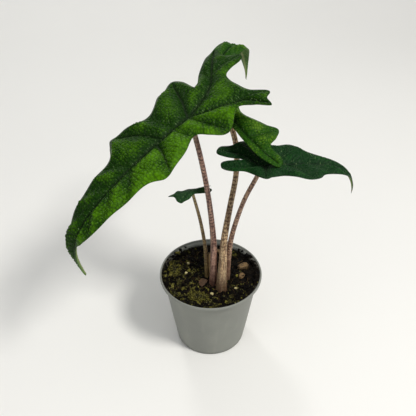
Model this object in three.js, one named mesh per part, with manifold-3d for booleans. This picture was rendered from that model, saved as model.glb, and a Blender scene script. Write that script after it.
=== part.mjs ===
// A young alocasia in a small thin-walled nursery pot, in millimetres with +Z up.
// The origin is the centre of the pot's flat bottom. -Y is the front of the plant.
import * as THREE from "three";
import Module from "manifold-3d";

const wasm = await Module();
wasm.setup();

// ---------------------------------------------------------------- driving dimensions
const GAP = 0.3;                 // clearance between neighbouring solids

const RIM_RADIUS = 30;           // outside of the rolled lip
const POT_HEIGHT = 50;
const FOOT_RADIUS = 21;
const LIP_OVERHANG = 2.2;        // how far the lip stands out from the body
const LIP_HEIGHT = 1.9;
const POT_WALL = 0.9;
const POT_FLOOR = 1.2;
const FOOT_CHAMFER = 0.8;
const LIP_SHELF = 0.9;           // thickness of the shelf that carries the lip
const LIP_EDGE = 0.9;            // width of the lip's flat top
const POT_SIDES = 48;
const DRAIN_HOLES = 6;
const DRAIN_HOLE_RADIUS = 2.5;
const DRAIN_HOLE_SIDES = 14;
const DRAIN_CIRCLE = 0.67;       // radius of the ring of holes, as a share of the foot radius

const SOIL_DROP = 2.4;           // from the top of the rim to the soil at the wall
const SOIL_DOME = 0.9;           // rise of the soil towards the stems
const SOIL_FRONT_RISE = 0.4;     // the soil stands higher at the front of the pot
const SOIL_BUMP = 0.3;
const SOIL_WALL_GAP = 1.3 * GAP; // a little over the gap, because both circles are polygons
const SOIL_SIDES = 36;

const LEAF_THICKNESS = 0.9;
const LEAF_EDGE_SHARE = 0.028;   // spacing along a leaf's outline over the leaf's length
const LEAF_FACE_SHARE = 0.07;    // longest edge inside a leaf over the leaf's length
const LEAF_EDGE_LEAST = 1.6;
const LEAF_FACE_LEAST = 3.4;

const JOINT_GAP = GAP + 0.22;     // a stalk stops further below its blade, which is faceted
const STEM_SIDES = 9;
const STEM_RINGS = 13;

// ---------------------------------------------------------------- derived sizes
const BODY_TOP_RADIUS = RIM_RADIUS - LIP_OVERHANG;
const BODY_HEIGHT = POT_HEIGHT - LIP_HEIGHT;
const SOIL_LEVEL = POT_HEIGHT - SOIL_DROP;

// The plant is laid out for this soil level and rises or sinks with the soil.
const LAYOUT_SOIL_LEVEL = 47.6;
const PLANT_RISE = SOIL_LEVEL - LAYOUT_SOIL_LEVEL;

// The litter is laid out for this radius of the soil's top and spreads or closes up with it.
const LAYOUT_SOIL_RADIUS = 27.8;
const LITTER_SPREAD = BODY_TOP_RADIUS / LAYOUT_SOIL_RADIUS;

const degrees = THREE.MathUtils.degToRad;
const vector = (x, y, z) => new THREE.Vector3(x, y, z);
const plantPoint = ([x, y, z]) => vector(x, y, z + PLANT_RISE);
const litterPoint = ([x, y]) => [x * LITTER_SPREAD, y * LITTER_SPREAD];

function wallRadius(z) {
  return FOOT_RADIUS + (BODY_TOP_RADIUS - FOOT_RADIUS) * z / BODY_HEIGHT;
}

// ---------------------------------------------------------------- solids and booleans
function geometryOf(points, triangles) {
  const geometry = new THREE.BufferGeometry();
  const positions = points.flatMap((point) => [point.x, point.y, point.z]);
  geometry.setAttribute("position", new THREE.Float32BufferAttribute(positions, 3));
  geometry.setIndex(triangles.flat());
  return geometry;
}

function toManifold(geometry) {
  return new wasm.Manifold(new wasm.Mesh({
    numProp: 3,
    vertProperties: new Float32Array(geometry.attributes.position.array),
    triVerts: new Uint32Array(geometry.index.array),
  }));
}

function fromManifold(solid) {
  const mesh = solid.getMesh();
  const geometry = new THREE.BufferGeometry();
  geometry.setAttribute("position", new THREE.Float32BufferAttribute(mesh.vertProperties, 3));
  geometry.setIndex(Array.from(mesh.triVerts));
  return geometry;
}

function cut(geometry, tools) {
  let solid = toManifold(geometry);
  for (const tool of tools) {
    solid = solid.subtract(toManifold(tool));
  }
  return fromManifold(solid);
}

// A closed solid through a stack of rings, each ring a loop of the same number of points listed
// counter-clockwise as seen from the end of the stack. Both ends are closed by a fan.
function stackedRings(rings) {
  const sides = rings[0].length;
  const points = rings.flat();
  const triangles = [];
  for (let ring = 0; ring + 1 < rings.length; ring += 1) {
    for (let side = 0; side < sides; side += 1) {
      const a = ring * sides + side;
      const b = ring * sides + (side + 1) % sides;
      triangles.push([a, b, b + sides], [a, b + sides, a + sides]);
    }
  }
  const centre = (ring) => ring.reduce((sum, point) => sum.add(point), vector(0, 0, 0)).divideScalar(sides);
  const bottom = points.push(centre(rings[0])) - 1;
  const top = points.push(centre(rings[rings.length - 1])) - 1;
  const last = (rings.length - 1) * sides;
  for (let side = 0; side < sides; side += 1) {
    const next = (side + 1) % sides;
    triangles.push([bottom, next, side], [top, last + side, last + next]);
  }
  return geometryOf(points, triangles);
}

// ---------------------------------------------------------------- pot
// Half of the pot's section, from the middle of its underside round to the middle of its floor. The
// thin wall steps out near the top into a shallow lip, open upwards.
function potProfile() {
  const innerTop = BODY_TOP_RADIUS - POT_WALL;
  const innerFoot = wallRadius(POT_FLOOR) - POT_WALL;
  const lipInside = RIM_RADIUS - LIP_EDGE;
  const shelf = BODY_HEIGHT + LIP_SHELF;
  return [
    [0, 0],
    [FOOT_RADIUS - FOOT_CHAMFER, 0],
    [wallRadius(FOOT_CHAMFER), FOOT_CHAMFER],
    [BODY_TOP_RADIUS, BODY_HEIGHT],
    [RIM_RADIUS - 0.3, BODY_HEIGHT],
    [RIM_RADIUS, BODY_HEIGHT + 0.3],
    [RIM_RADIUS, POT_HEIGHT - 0.4],
    [RIM_RADIUS - 0.3, POT_HEIGHT],
    [lipInside + 0.2, POT_HEIGHT],
    [lipInside, POT_HEIGHT - 0.3],
    [lipInside - 0.4, shelf + 0.1],
    [innerTop + 0.6, shelf - 0.1],
    [innerTop, shelf - 0.7],
    [innerFoot, POT_FLOOR],
    [0, POT_FLOOR],
  ];
}

function lathe(profile, segments) {
  const rings = [];
  for (const [radius, z] of profile.slice(1, -1)) {
    const ring = [];
    for (let step = 0; step < segments; step += 1) {
      const angle = 2 * Math.PI * step / segments;
      ring.push(vector(radius * Math.cos(angle), radius * Math.sin(angle), z));
    }
    rings.push(ring);
  }
  return stackedRings(rings);
}

// A round bar standing at (x, y).
function upright(radius, bottom, top, x, y) {
  const profile = [[0, bottom], [radius, bottom], [radius, top], [0, top]];
  return lathe(profile, DRAIN_HOLE_SIDES).translate(x, y, 0);
}

function potGeometry() {
  const holes = [];
  const reach = DRAIN_CIRCLE * FOOT_RADIUS;
  for (let hole = 0; hole < DRAIN_HOLES; hole += 1) {
    const angle = 2 * Math.PI * (hole + 0.5) / DRAIN_HOLES;
    const x = reach * Math.cos(angle);
    const y = reach * Math.sin(angle);
    holes.push(upright(DRAIN_HOLE_RADIUS, -POT_FLOOR, 2 * POT_FLOOR, x, y));
  }
  return cut(lathe(potProfile(), POT_SIDES), holes);
}

// ---------------------------------------------------------------- soil
// Height of the soil above the pot's bottom. `share` is the distance from the centre over the radius.
function soilHeight(x, y) {
  const share = Math.hypot(x, y) / BODY_TOP_RADIUS;
  const bumps = Math.sin(0.55 * x + 1.3) * Math.cos(0.48 * y) + 0.6 * Math.sin(0.9 * x - 0.7 * y);
  const dome = SOIL_DOME * (1 - share * share);
  return SOIL_LEVEL + dome - SOIL_FRONT_RISE * y / BODY_TOP_RADIUS + SOIL_BUMP * bumps;
}

// The soil with its surface lifted by `extra`, before the stems and the crown are taken out of it.
function soilBody(extra) {
  const ringAt = (radius, heightAt) => {
    const ring = [];
    for (let side = 0; side < SOIL_SIDES; side += 1) {
      const angle = 2 * Math.PI * side / SOIL_SIDES;
      const x = radius * Math.cos(angle);
      const y = radius * Math.sin(angle);
      ring.push(vector(x, y, heightAt(x, y)));
    }
    return ring;
  };
  const bottom = POT_FLOOR + GAP;
  const clearOfWall = POT_WALL + SOIL_WALL_GAP;
  const topRadius = wallRadius(SOIL_LEVEL) - clearOfWall;
  const rings = [ringAt(wallRadius(bottom) - clearOfWall, () => bottom)];
  for (const share of [1, 0.8, 0.6, 0.4, 0.2]) {
    rings.push(ringAt(topRadius * share, (x, y) => soilHeight(x, y) + extra));
  }
  return stackedRings(rings);
}

// ---------------------------------------------------------------- crown and stems
// The short thick stem, mostly underground, that carries every leaf stalk.
const CROWN = { centre: [3.4, -9, 38.8], radius: 8.4, halfHeight: 10.8, levels: 9, sides: 16 };

function crownBody(extra) {
  const { radius, halfHeight, levels, sides } = CROWN;
  const centre = plantPoint(CROWN.centre);
  const rings = [];
  for (let level = 1; level < levels; level += 1) {
    const polar = Math.PI * (1 - level / levels);
    const ring = [];
    for (let side = 0; side < sides; side += 1) {
      const angle = 2 * Math.PI * side / sides;
      const bulge = 1 + 0.05 * Math.sin(3 * angle + 2 * polar);
      const reach = (radius * bulge + extra) * Math.sin(polar);
      ring.push(vector(
        centre.x + reach * Math.cos(angle),
        centre.y + reach * Math.sin(angle),
        centre.z + (halfHeight + extra) * Math.cos(polar),
      ));
    }
    rings.push(ring);
  }
  return stackedRings(rings);
}

// A tapering round stem through the given centre points, `extra` thicker all round.
// `flare` is how sharply the thickening gathers at the foot.
function stemBody({ path, footRadius, topRadius, flare }, extra) {
  const curve = new THREE.CatmullRomCurve3(path.map(plantPoint));
  const frames = curve.computeFrenetFrames(STEM_RINGS, false);
  const rings = [];
  for (let ring = 0; ring <= STEM_RINGS; ring += 1) {
    const along = ring / STEM_RINGS;
    const centre = curve.getPointAt(along);
    const radius = topRadius + (footRadius - topRadius) * (1 - along) ** flare + extra;
    const loop = [];
    for (let side = 0; side < STEM_SIDES; side += 1) {
      const angle = 2 * Math.PI * side / STEM_SIDES;
      const across = frames.normals[ring].clone().multiplyScalar(radius * Math.cos(angle));
      const up = frames.binormals[ring].clone().multiplyScalar(radius * Math.sin(angle));
      loop.push(centre.clone().add(across).add(up));
    }
    rings.push(loop);
  }
  return stackedRings(rings);
}

// Leaf stalks run from inside the crown to the leaf they carry; the crown is cut away below.
const STALKS = {
  petiole_front: {
    path: [[1.6, -8.8, 38], [1.4, -8.6, 50], [1.7, -6.6, 63], [1.6, -4.6, 76], [-2.1, -5.8, 114],
      [-7.6, -7.4, 145], [-11.4, -8.2, 159]],
    footRadius: 2.7,
    topRadius: 1.3,
    flare: 3,
    colour: "#8d5f4c",
  },
  petiole_back: {
    path: [[5.8, -13, 38], [6, -12.9, 50], [6.7, -9.8, 64], [7.5, -5.4, 80], [10.4, 1, 97], [13.4, 7, 115],
      [12.9, 11.6, 130.5], [8.4, 14.4, 144], [0.6, 16.6, 157]],
    footRadius: 3.8,
    topRadius: 1.45,
    flare: 4,
    colour: "#a3876b",
  },
  petiole_right: {
    path: [[7.2, -6, 38], [9.2, -4.4, 52], [10.2, -4, 67], [11.5, -5, 81], [16.9, -10, 109],
      [22.6, -12, 125.3], [27, -12.6, 137]],
    footRadius: 2.2,
    topRadius: 1.15,
    flare: 2.5,
    colour: "#93684f",
  },
  petiole_small: {
    path: [[-1.2, -4.6, 38], [-2.2, -3.6, 50], [-3, -1.2, 68], [-5.6, -1.2, 88], [-9.2, -2, 106],
      [-11, -2.2, 114]],
    footRadius: 1.3,
    topRadius: 0.75,
    flare: 1,
    colour: "#7d6a3c",
  },
};

// ---------------------------------------------------------------- leaves
// A leaf is laid out flat first. p runs along the midrib: 0 where the stalk joins, positive
// towards the drip tip. q runs across it, positive to the right of someone looking to the tip.
// Each station is [p, heading, pitch, fold, curl]: the midrib's compass heading and slope there,
// how steeply both halves rise from the midrib, and how much they bend over per 10 mm of width,
// all in degrees. `ripple` is the height of the waves in the margin 20 mm from the midrib.
const LEAVES = {
  leaf_front: {
    joint: [-10.5, -8, 156.5],
    stations: [
      [-45, 222, -20, 6, -5],
      [0, 222, -18, 5, -5],
      [20, 221, -23, 4, -6],
      [40, 218, -30, 4, -7],
      [60, 214, -39, 4, -8],
      [74, 210, -56, 2, -8],
      [84, 208, -80, 0, -6],
      [92, 208, -98, 0, 0],
      [105, 208, -114, 0, 0],
    ],
    outline: [
      [104, 1.5], [96, 6], [86, 10], [72, 12], [54, 14], [41, 15],
      [36, 20.5], [32, 26.3], [26, 26.8], [18, 21], [12, 19.2],
      [4, 21.5], [-5, 27.6], [-12, 28.4], [-15.5, 22], [-16.4, 12.5],
      [-25, 20], [-33, 24], [-40.5, 28.8], [-44, 27], [-41.8, 18.5], [-45.8, 10.5], [-43, 7.4], [-36, 7.3],
      [-30.5, 5], [-28.7, -4],
      [-28.6, -13], [-33.4, -20.6], [-28.6, -24], [-26, -29], [-22.5, -21.5], [-17, -15.8],
      [-7, -22.6], [-1.5, -22.5], [3, -18], [7.5, -12.6],
      [16, -15.4], [25, -18.3], [31, -18.5], [38, -14.2],
      [54, -12.2], [70, -9], [78, -5], [83, -1.2], [93, -0.8],
    ],
    ripple: 0.7,
    rippleLength: 17,
    colour: "#2b5410",
  },
  leaf_back: {
    joint: [4, 14, 152],
    stations: [
      [-42, 104, 21, 6, -5],
      [0, 104, 23, 6, -5],
      [15, 90, 28, 6, -5],
      [28, 68, 27, 4, -5],
      [40, 56, 6, 4, -5],
      [50, 52, -40, 2, -5],
      [60, 48, -72, 0, 0],
      [78, 48, -88, 0, 0],
    ],
    outline: [
      [74, 0], [66, 1.4], [57, 4], [48, 7.5], [38, 8.5], [27, 5],
      [18, 4.5], [12, 8.5], [7, 12], [2, 11.5], [-4.2, 9.3],
      [-9.6, 11.3], [-16.4, 19.6], [-19.5, 26], [-26, 22.6], [-30, 18.5], [-36, 21.6],
      [-41.8, 21], [-42.4, 17], [-34, 10.4], [-24, 6], [-15.7, 2.8],
      [-12.4, -2], [-14.5, -8], [-16.4, -12], [-13, -14.6],
      [-7, -12], [-2, -9], [4, -11.5], [9, -12], [14, -9],
      [22, -6.5], [32, -6.5], [42, -6.5], [51, -5.5], [60, -3], [68, -1],
    ],
    ripple: 0.6,
    rippleLength: 14,
    colour: "#2f6112",
  },
  leaf_right: {
    joint: [24.3, -12, 131.7],
    stations: [
      [-24, 0, 3, 15, -3],
      [0, 0, 3, 15, -3],
      [20, 0, 2, 15, -3],
      [33, 0, -6, 12, -3],
      [42, 0, -34, 8, -3],
      [48, 0, -66, 4, 0],
      [60, 0, -98, 0, 0],
    ],
    outline: [
      [57.5, 0], [51.5, 1], [47, 2.5], [42.5, 5.5], [37, 8.5], [29.5, 12.2],
      [26, 17.4], [21.5, 18.4], [15, 16.4], [9.3, 14],
      [4.4, 15.4], [1, 17.8], [-3.8, 11.6], [-8.5, 6.6],
      [-14, 5.8], [-18.3, 2.4], [-19.6, -2.6], [-16.5, -4.6],
      [-8.6, -5], [-16.4, -7.1], [-21.4, -10], [-19.8, -14.4], [-14.2, -15.8],
      [-8.5, -17.8], [0, -16.5], [7, -13.8], [13.5, -14.6], [18.5, -12.4], [24, -8.6],
      [31, -5.6], [38, -3.8], [44, -2.5], [50, -1],
    ],
    ripple: 0.5,
    rippleLength: 13,
    colour: "#1f4420",
  },
  leaf_small: {
    joint: [-9.1, -1.6, 110],
    stations: [
      [-11, 192, -4, -24, -20],
      [0, 189, -9, -24, -20],
      [8, 184, -13, -22, -20],
      [15, 180, -26, -10, -6],
    ],
    outline: [
      [14, 0], [11, 1.5], [9.4, 4.4], [7.6, 5.8], [5.6, 4.9], [3, 4.2],
      [0, 2.4], [-4, 3], [-7.6, 3.6], [-9.6, 2.4], [-7, 0.4],
      [-9.4, -1.8], [-7.6, -3.2], [-3.6, -2.8], [0.4, -2.4],
      [3, -4.4], [5.6, -5.2], [7.6, -5.9], [9.6, -4.5], [10.8, -1.6],
    ],
    ripple: 0.2,
    rippleLength: 5,
    colour: "#3a5f33",
  },
};

class LeafSurface {
  constructor({ joint, stations, ripple, rippleLength }) {
    this.stations = stations;
    this.ripple = ripple;
    this.rippleLength = rippleLength;
    this.first = Math.round(stations[0][0]);
    this.axis = [plantPoint(joint)];
    for (let p = 0; p < stations[stations.length - 1][0]; p += 1) {
      const step = this.forward(p + 0.5);
      this.axis.push(this.axis[this.axis.length - 1].clone().add(step));
    }
    for (let p = 0; p > this.first; p -= 1) {
      const step = this.forward(p - 0.5);
      this.axis.unshift(this.axis[0].clone().sub(step));
    }
  }

  // The value of one column of the stations at p, in degrees.
  angle(p, column) {
    const { stations } = this;
    let next = stations.findIndex((station) => station[0] > p);
    if (next < 0) {
      next = stations.length - 1;
    }
    next = Math.max(next, 1);
    const before = stations[next - 1];
    const after = stations[next];
    const share = THREE.MathUtils.clamp((p - before[0]) / (after[0] - before[0]), 0, 1);
    return THREE.MathUtils.lerp(before[column], after[column], share);
  }

  forward(p) {
    const heading = degrees(this.angle(p, 1));
    const pitch = degrees(this.angle(p, 2));
    const level = Math.cos(pitch);
    return vector(level * Math.cos(heading), level * Math.sin(heading), Math.sin(pitch));
  }

  axisPoint(p) {
    const place = THREE.MathUtils.clamp(p - this.first, 0, this.axis.length - 1.001);
    const index = Math.floor(place);
    const point = this.axis[index].clone().lerp(this.axis[index + 1], place - index);
    return point.addScaledVector(this.forward(p), p - this.first - place);
  }

  // The point of the blade at (p, q), lifted off its middle surface by `lift`.
  at(p, q, lift) {
    const heading = degrees(this.angle(p, 1));
    const right = vector(Math.sin(heading), -Math.cos(heading), 0);
    const normal = right.clone().cross(this.forward(p));
    const away = Math.abs(q);
    const fold = degrees(this.angle(p, 3));
    const bend = degrees(this.angle(p, 4)) / 10;
    const middle = fold + bend * away / 2;
    const phase = 2 * Math.PI * p / this.rippleLength + Math.sign(q);
    const wave = this.ripple * (away / 20) ** 2 * Math.sin(phase);
    return this.axisPoint(p)
      .addScaledVector(right, q * Math.cos(middle))
      .addScaledVector(normal, away * Math.sin(middle) + wave + lift);
  }
}

// Splits the longest edges of a flat triangulation in two until none is longer than `limit`.
function refine(points, triangles, limit) {
  const length = (a, b) => Math.hypot(points[a][0] - points[b][0], points[a][1] - points[b][1]);
  for (;;) {
    let worst = limit;
    let edge = null;
    for (const triangle of triangles) {
      for (let corner = 0; corner < 3; corner += 1) {
        const a = triangle[corner];
        const b = triangle[(corner + 1) % 3];
        if (length(a, b) > worst + 1e-9) {
          worst = length(a, b);
          edge = [a, b];
        }
      }
    }
    if (!edge) {
      return triangles;
    }
    const [a, b] = edge;
    const middle = points.push([(points[a][0] + points[b][0]) / 2, (points[a][1] + points[b][1]) / 2]) - 1;
    triangles = triangles.flatMap((triangle) => {
      if (!triangle.includes(a) || !triangle.includes(b)) {
        return [triangle];
      }
      return [
        triangle.map((corner) => (corner === a ? middle : corner)),
        triangle.map((corner) => (corner === b ? middle : corner)),
      ];
    });
  }
}

function smoothOutline(outline, step) {
  const curve = new THREE.CatmullRomCurve3(outline.map(([p, q]) => vector(p, q, 0)), true, "catmullrom", 0.5);
  const count = Math.round(curve.getLength() / step);
  return curve.getSpacedPoints(count).slice(0, count).map((point) => [point.x, point.y]);
}

// A blade of even thickness: the flat outline filled with triangles, bent by the surface.
function bladeGeometry(surface, outline, thickness, edgeStep, faceStep) {
  const points = smoothOutline(outline, edgeStep);
  const rim = points.length;
  const flat = points.map(([p, q]) => new THREE.Vector2(p, q));
  const filled = THREE.ShapeUtils.triangulateShape(flat, []);
  const triangles = refine(points, filled, faceStep);
  const count = points.length;
  const top = points.map(([p, q]) => surface.at(p, q, thickness / 2));
  const bottom = points.map(([p, q]) => surface.at(p, q, -thickness / 2));
  const turns = (a, b, c) => (b[0] - a[0]) * (c[1] - a[1]) - (b[1] - a[1]) * (c[0] - a[0]) > 0;
  const faces = [];
  for (const [a, b, c] of triangles) {
    const upward = turns(points[a], points[b], points[c]) ? [a, c, b] : [a, b, c];
    faces.push(upward, [...upward].reverse().map((corner) => corner + count));
  }
  const clockwise = THREE.ShapeUtils.area(flat) < 0;
  for (let corner = 0; corner < rim; corner += 1) {
    const next = (corner + 1) % rim;
    const [a, b] = clockwise ? [corner, next] : [next, corner];
    faces.push([b, a, a + count], [b, a + count, b + count]);
  }
  return geometryOf([...top, ...bottom], faces);
}

function leafGeometry(leaf) {
  const along = leaf.outline.map((point) => point[0]);
  const length = Math.max(...along) - Math.min(...along);
  const edgeStep = Math.max(LEAF_EDGE_SHARE * length, LEAF_EDGE_LEAST);
  const faceStep = Math.max(LEAF_FACE_SHARE * length, LEAF_FACE_LEAST);
  return bladeGeometry(new LeafSurface(leaf), leaf.outline, LEAF_THICKNESS, edgeStep, faceStep);
}

// Everything above the underside of the blade at the joint, as a block to cut a stalk with.
const CUTTER_REACH = 12;
function aboveJoint(leaf, stalkRadius) {
  const surface = new LeafSurface(leaf);
  const sag = stalkRadius * Math.max(0, -Math.tan(degrees(surface.angle(0, 3))));
  const forward = surface.forward(0).multiplyScalar(CUTTER_REACH);
  const left = surface.at(0, -CUTTER_REACH, 0).sub(surface.at(0, CUTTER_REACH, 0)).divideScalar(2);
  const normal = forward.clone().cross(left).normalize();
  const below = LEAF_THICKNESS / 2 + JOINT_GAP + sag;
  const floor = plantPoint(leaf.joint).addScaledVector(normal, -below);
  const corners = [[1, 1], [-1, 1], [-1, -1], [1, -1]];
  const square = (height) => corners.map(([u, v]) => floor.clone()
    .addScaledVector(forward, u)
    .addScaledVector(left, v)
    .addScaledVector(normal, height));
  return stackedRings([square(0), square(2 * CUTTER_REACH)]);
}

function stalkGeometry(stalk, leaf) {
  return cut(stemBody(stalk, 0), [crownBody(GAP), aboveJoint(leaf, stalk.topRadius)]);
}

// ---------------------------------------------------------------- old growth and litter
// The cut stump of an earlier leaf, standing between the small and the front stalk.
const STUB = {
  path: [[0.4, -4.5, 41], [0.35, -4.3, 50], [-0.3, -3.2, 58], [-0.3, -2, 66]],
  footRadius: 1,
  topRadius: 0.8,
  flare: 1,
};

// The dry papery scale left by a bud, lying at the foot of the small stalk.
const SCALE = {
  joint: [-4.4, -9.4, 50.3],
  stations: [[-4, 250, 14, 10, 60], [4, 250, -8, 10, 60]],
  outline: [[3.6, 0], [2, 2], [-1, 2.4], [-3.4, 1.2], [-3.6, -1], [-1, -2.3], [2, -1.8]],
  ripple: 0,
  rippleLength: 1,
};
const SCALE_THICKNESS = 0.5;
const SCALE_EDGE_STEP = 1.2;
const SCALE_FACE_STEP = 2;

// Loose pieces lie on the soil at [x, y]; `size` is half the length, width and height. Places
// and outlines are for the layout radius of the soil, heights are as given.
const LUMPS = {
  moss_left: { at: [-21.6, 3.4], size: [3.6, 7, 1.8], turn: 6, colour: "#8a8440" },
  moss_front: { at: [-7, -19.6], size: [6.4, 3.6, 1.7], turn: -20, colour: "#6f6c32" },
  moss_back: { at: [11.6, 18.4], size: [5.2, 2.8, 1.6], turn: -33, colour: "#7d7a44" },
  perlite_front: { at: [0.6, -17.2], size: [1.3, 1.1, 1.1], turn: 20, colour: "#e9e3c4" },
  perlite_left: { at: [-13.6, 8.4], size: [1.2, 1, 1], turn: 70, colour: "#ddd6b4" },
  perlite_side: { at: [-14.6, 0.6], size: [1, 0.9, 0.9], turn: 130, colour: "#ded9bd" },
  perlite_right: { at: [14.4, -12.6], size: [1.1, 0.9, 0.9], turn: 200, colour: "#d9d3b0" },
};
const CHIPS = {
  bark_right: { at: [19.4, 5.4], length: 6.2, width: 4, thickness: 1.6, turn: 25, tilt: 6 },
  bark_back: { at: [4, 19.4], length: 5.4, width: 3.4, thickness: 1.5, turn: -20, tilt: -5 },
  bark_side: { at: [18.2, -2.6], length: 4.4, width: 3, thickness: 1.4, turn: 70, tilt: 4 },
};

function restOnSoil(geometry) {
  return cut(geometry, [soilBody(GAP)]);
}

// A rounded, slightly knobbly lump with its middle a little above the soil.
function lumpGeometry({ at, size, turn }) {
  const rings = [];
  const levels = 6;
  const sides = 10;
  const spin = degrees(turn);
  const [x, y] = litterPoint(at);
  const middle = soilHeight(x, y) + 0.45 * size[2];
  for (let level = 1; level < levels; level += 1) {
    const polar = Math.PI * (1 - level / levels);
    const ring = [];
    for (let side = 0; side < sides; side += 1) {
      const angle = 2 * Math.PI * side / sides;
      const knob = 1 + 0.1 * Math.sin(3 * angle + turn) * Math.sin(2 * polar + turn);
      const spread = LITTER_SPREAD * knob * Math.sin(polar);
      const u = size[0] * spread * Math.cos(angle);
      const v = size[1] * spread * Math.sin(angle);
      ring.push(vector(
        x + u * Math.cos(spin) - v * Math.sin(spin),
        y + u * Math.sin(spin) + v * Math.cos(spin),
        middle + size[2] * knob * Math.cos(polar),
      ));
    }
    rings.push(ring);
  }
  return restOnSoil(stackedRings(rings));
}

// A flat splinter of bark: a six-sided plank with pointed ends, lying nearly level.
function chipGeometry({ at, length, width, thickness, turn, tilt }) {
  const plan = [[0.5, 0.12], [0.28, 0.5], [-0.3, 0.42], [-0.5, -0.1], [-0.22, -0.5], [0.34, -0.4]];
  const [x, y] = litterPoint(at);
  const layer = (height) => plan.map(([u, v]) => (
    vector(LITTER_SPREAD * u * length, LITTER_SPREAD * v * width, height * thickness)
  ));
  const geometry = stackedRings([layer(-0.5), layer(0.5)]);
  geometry.rotateX(degrees(tilt)).rotateZ(degrees(turn));
  geometry.translate(x, y, soilHeight(x, y) + 0.62 * thickness);
  return restOnSoil(geometry);
}

// ---------------------------------------------------------------- assembly
const group = new THREE.Group();

function add(name, geometry, colour, roughness) {
  const material = new THREE.MeshStandardMaterial({ color: colour, roughness, metalness: 0 });
  const mesh = new THREE.Mesh(geometry, material);
  mesh.name = name;
  group.add(mesh);
}

const PAIRS = [
  ["petiole_front", "leaf_front"],
  ["petiole_back", "leaf_back"],
  ["petiole_right", "leaf_right"],
  ["petiole_small", "leaf_small"],
];

const stems = [STUB, ...Object.values(STALKS)];
const rooted = [crownBody(GAP), ...stems.map((stem) => stemBody(stem, GAP))];
add("pot", potGeometry(), "#82817a", 0.55);
add("soil", cut(soilBody(0), rooted), "#17150b", 0.95);
add("crown", crownBody(0), "#6b4a32", 0.8);
for (const [stalkName, leafName] of PAIRS) {
  const stalk = STALKS[stalkName];
  const leaf = LEAVES[leafName];
  add(stalkName, stalkGeometry(stalk, leaf), stalk.colour, 0.5);
  add(leafName, leafGeometry(leaf), leaf.colour, 0.42);
}
add("dry_stub", cut(stemBody(STUB, 0), [crownBody(GAP)]), "#9c8058", 0.8);
const scaleSurface = new LeafSurface(SCALE);
const scaleSteps = [SCALE_EDGE_STEP, SCALE_FACE_STEP];
const scaleSheet = bladeGeometry(scaleSurface, SCALE.outline, SCALE_THICKNESS, ...scaleSteps);
add("dry_scale", scaleSheet, "#b39b72", 0.8);
for (const [name, lump] of Object.entries(LUMPS)) {
  add(name, lumpGeometry(lump), lump.colour, 0.9);
}
for (const [name, chip] of Object.entries(CHIPS)) {
  add(name, chipGeometry(chip), "#6a4a2e", 0.85);
}

export default group;
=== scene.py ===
import math

import bmesh
import bpy
import numpy as np
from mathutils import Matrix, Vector, noise
from mathutils.geometry import delaunay_2d_cdt
from mathutils.kdtree import KDTree


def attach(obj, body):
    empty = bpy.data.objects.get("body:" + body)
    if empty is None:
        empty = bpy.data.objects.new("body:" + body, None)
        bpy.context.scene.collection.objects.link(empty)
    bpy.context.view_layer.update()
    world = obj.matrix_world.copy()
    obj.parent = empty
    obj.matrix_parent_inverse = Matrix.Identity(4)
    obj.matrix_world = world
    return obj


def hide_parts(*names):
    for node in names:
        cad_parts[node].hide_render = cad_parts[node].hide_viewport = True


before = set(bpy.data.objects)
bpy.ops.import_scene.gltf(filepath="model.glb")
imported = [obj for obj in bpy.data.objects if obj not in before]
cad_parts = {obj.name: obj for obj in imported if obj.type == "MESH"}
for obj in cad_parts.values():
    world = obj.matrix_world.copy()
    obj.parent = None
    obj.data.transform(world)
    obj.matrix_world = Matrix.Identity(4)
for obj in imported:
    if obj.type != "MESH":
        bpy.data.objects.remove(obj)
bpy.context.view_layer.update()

MM = 0.001

# ------------------------------------------------------------------ driving dimensions
RIM_RADIUS = 30.0
POT_HEIGHT = 50.0
FOOT_RADIUS = 21.0
LIP_OVERHANG = 2.2
LIP_HEIGHT = 1.9
POT_WALL = 0.9
POT_FLOOR = 1.2
DRAIN_HOLES = 6
DRAIN_HOLE_RADIUS = 2.5
DRAIN_CIRCLE = 0.67 * FOOT_RADIUS

LIP_SHELF = 0.9            # thickness of the shelf that carries the lip
LIP_EDGE = 0.9             # width of the lip's flat top
FOOT_EDGE = 0.8            # how far the rounded edge under the pot reaches inwards

SOIL_DROP = 2.4
SOIL_DOME = 0.9
SOIL_FRONT_RISE = 0.4
SOIL_BUMP = 0.3

POT_SIDES = 192
HOLE_SIDES = 24
SOIL_SIDES = 220
SOIL_RINGS = 70            # rings of points across the top of the soil
SOIL_ROWS = 12             # rings of points down its side

BODY_TOP_RADIUS = RIM_RADIUS - LIP_OVERHANG
BODY_HEIGHT = POT_HEIGHT - LIP_HEIGHT
SOIL_LEVEL = POT_HEIGHT - SOIL_DROP

FINE_STEP = 0.4
BLADE_THICKNESS = 0.5
MARGIN_SHARE = 0.35        # thickness at a blade's margin as a share of the whole
UNDER_RELIEF = 0.8         # relief of the lower face as a share of the upper one's
VEIN_DEPTH = 0.9           # groove of a main vein in the upper face
VEIN_RIDGE = 0.4           # how far it stands out of the lower face
VALLEY = 1.5               # half width of the valley round a vein over the vein's own
WIDEST_VEIN = 0.9
VALLEY_REACH = 3.4         # how far the painted shade of a vein's valley reaches on both sides of it
VEIN_SLANT = 0.8           # how far a side vein runs along its main vein for each step away from it
SIDE_VEIN_WIDTH = 0.3
RIB_DEPTH = 0.4            # groove of a side vein in the upper face
RIB_RIDGE = 0.12           # how far it stands out of the lower face
PILLOW = 2.2               # rise of the blade between its main veins
PILLOW_REACH = 4.0
PUFF = 0.44                # rise of each small cell

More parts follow.
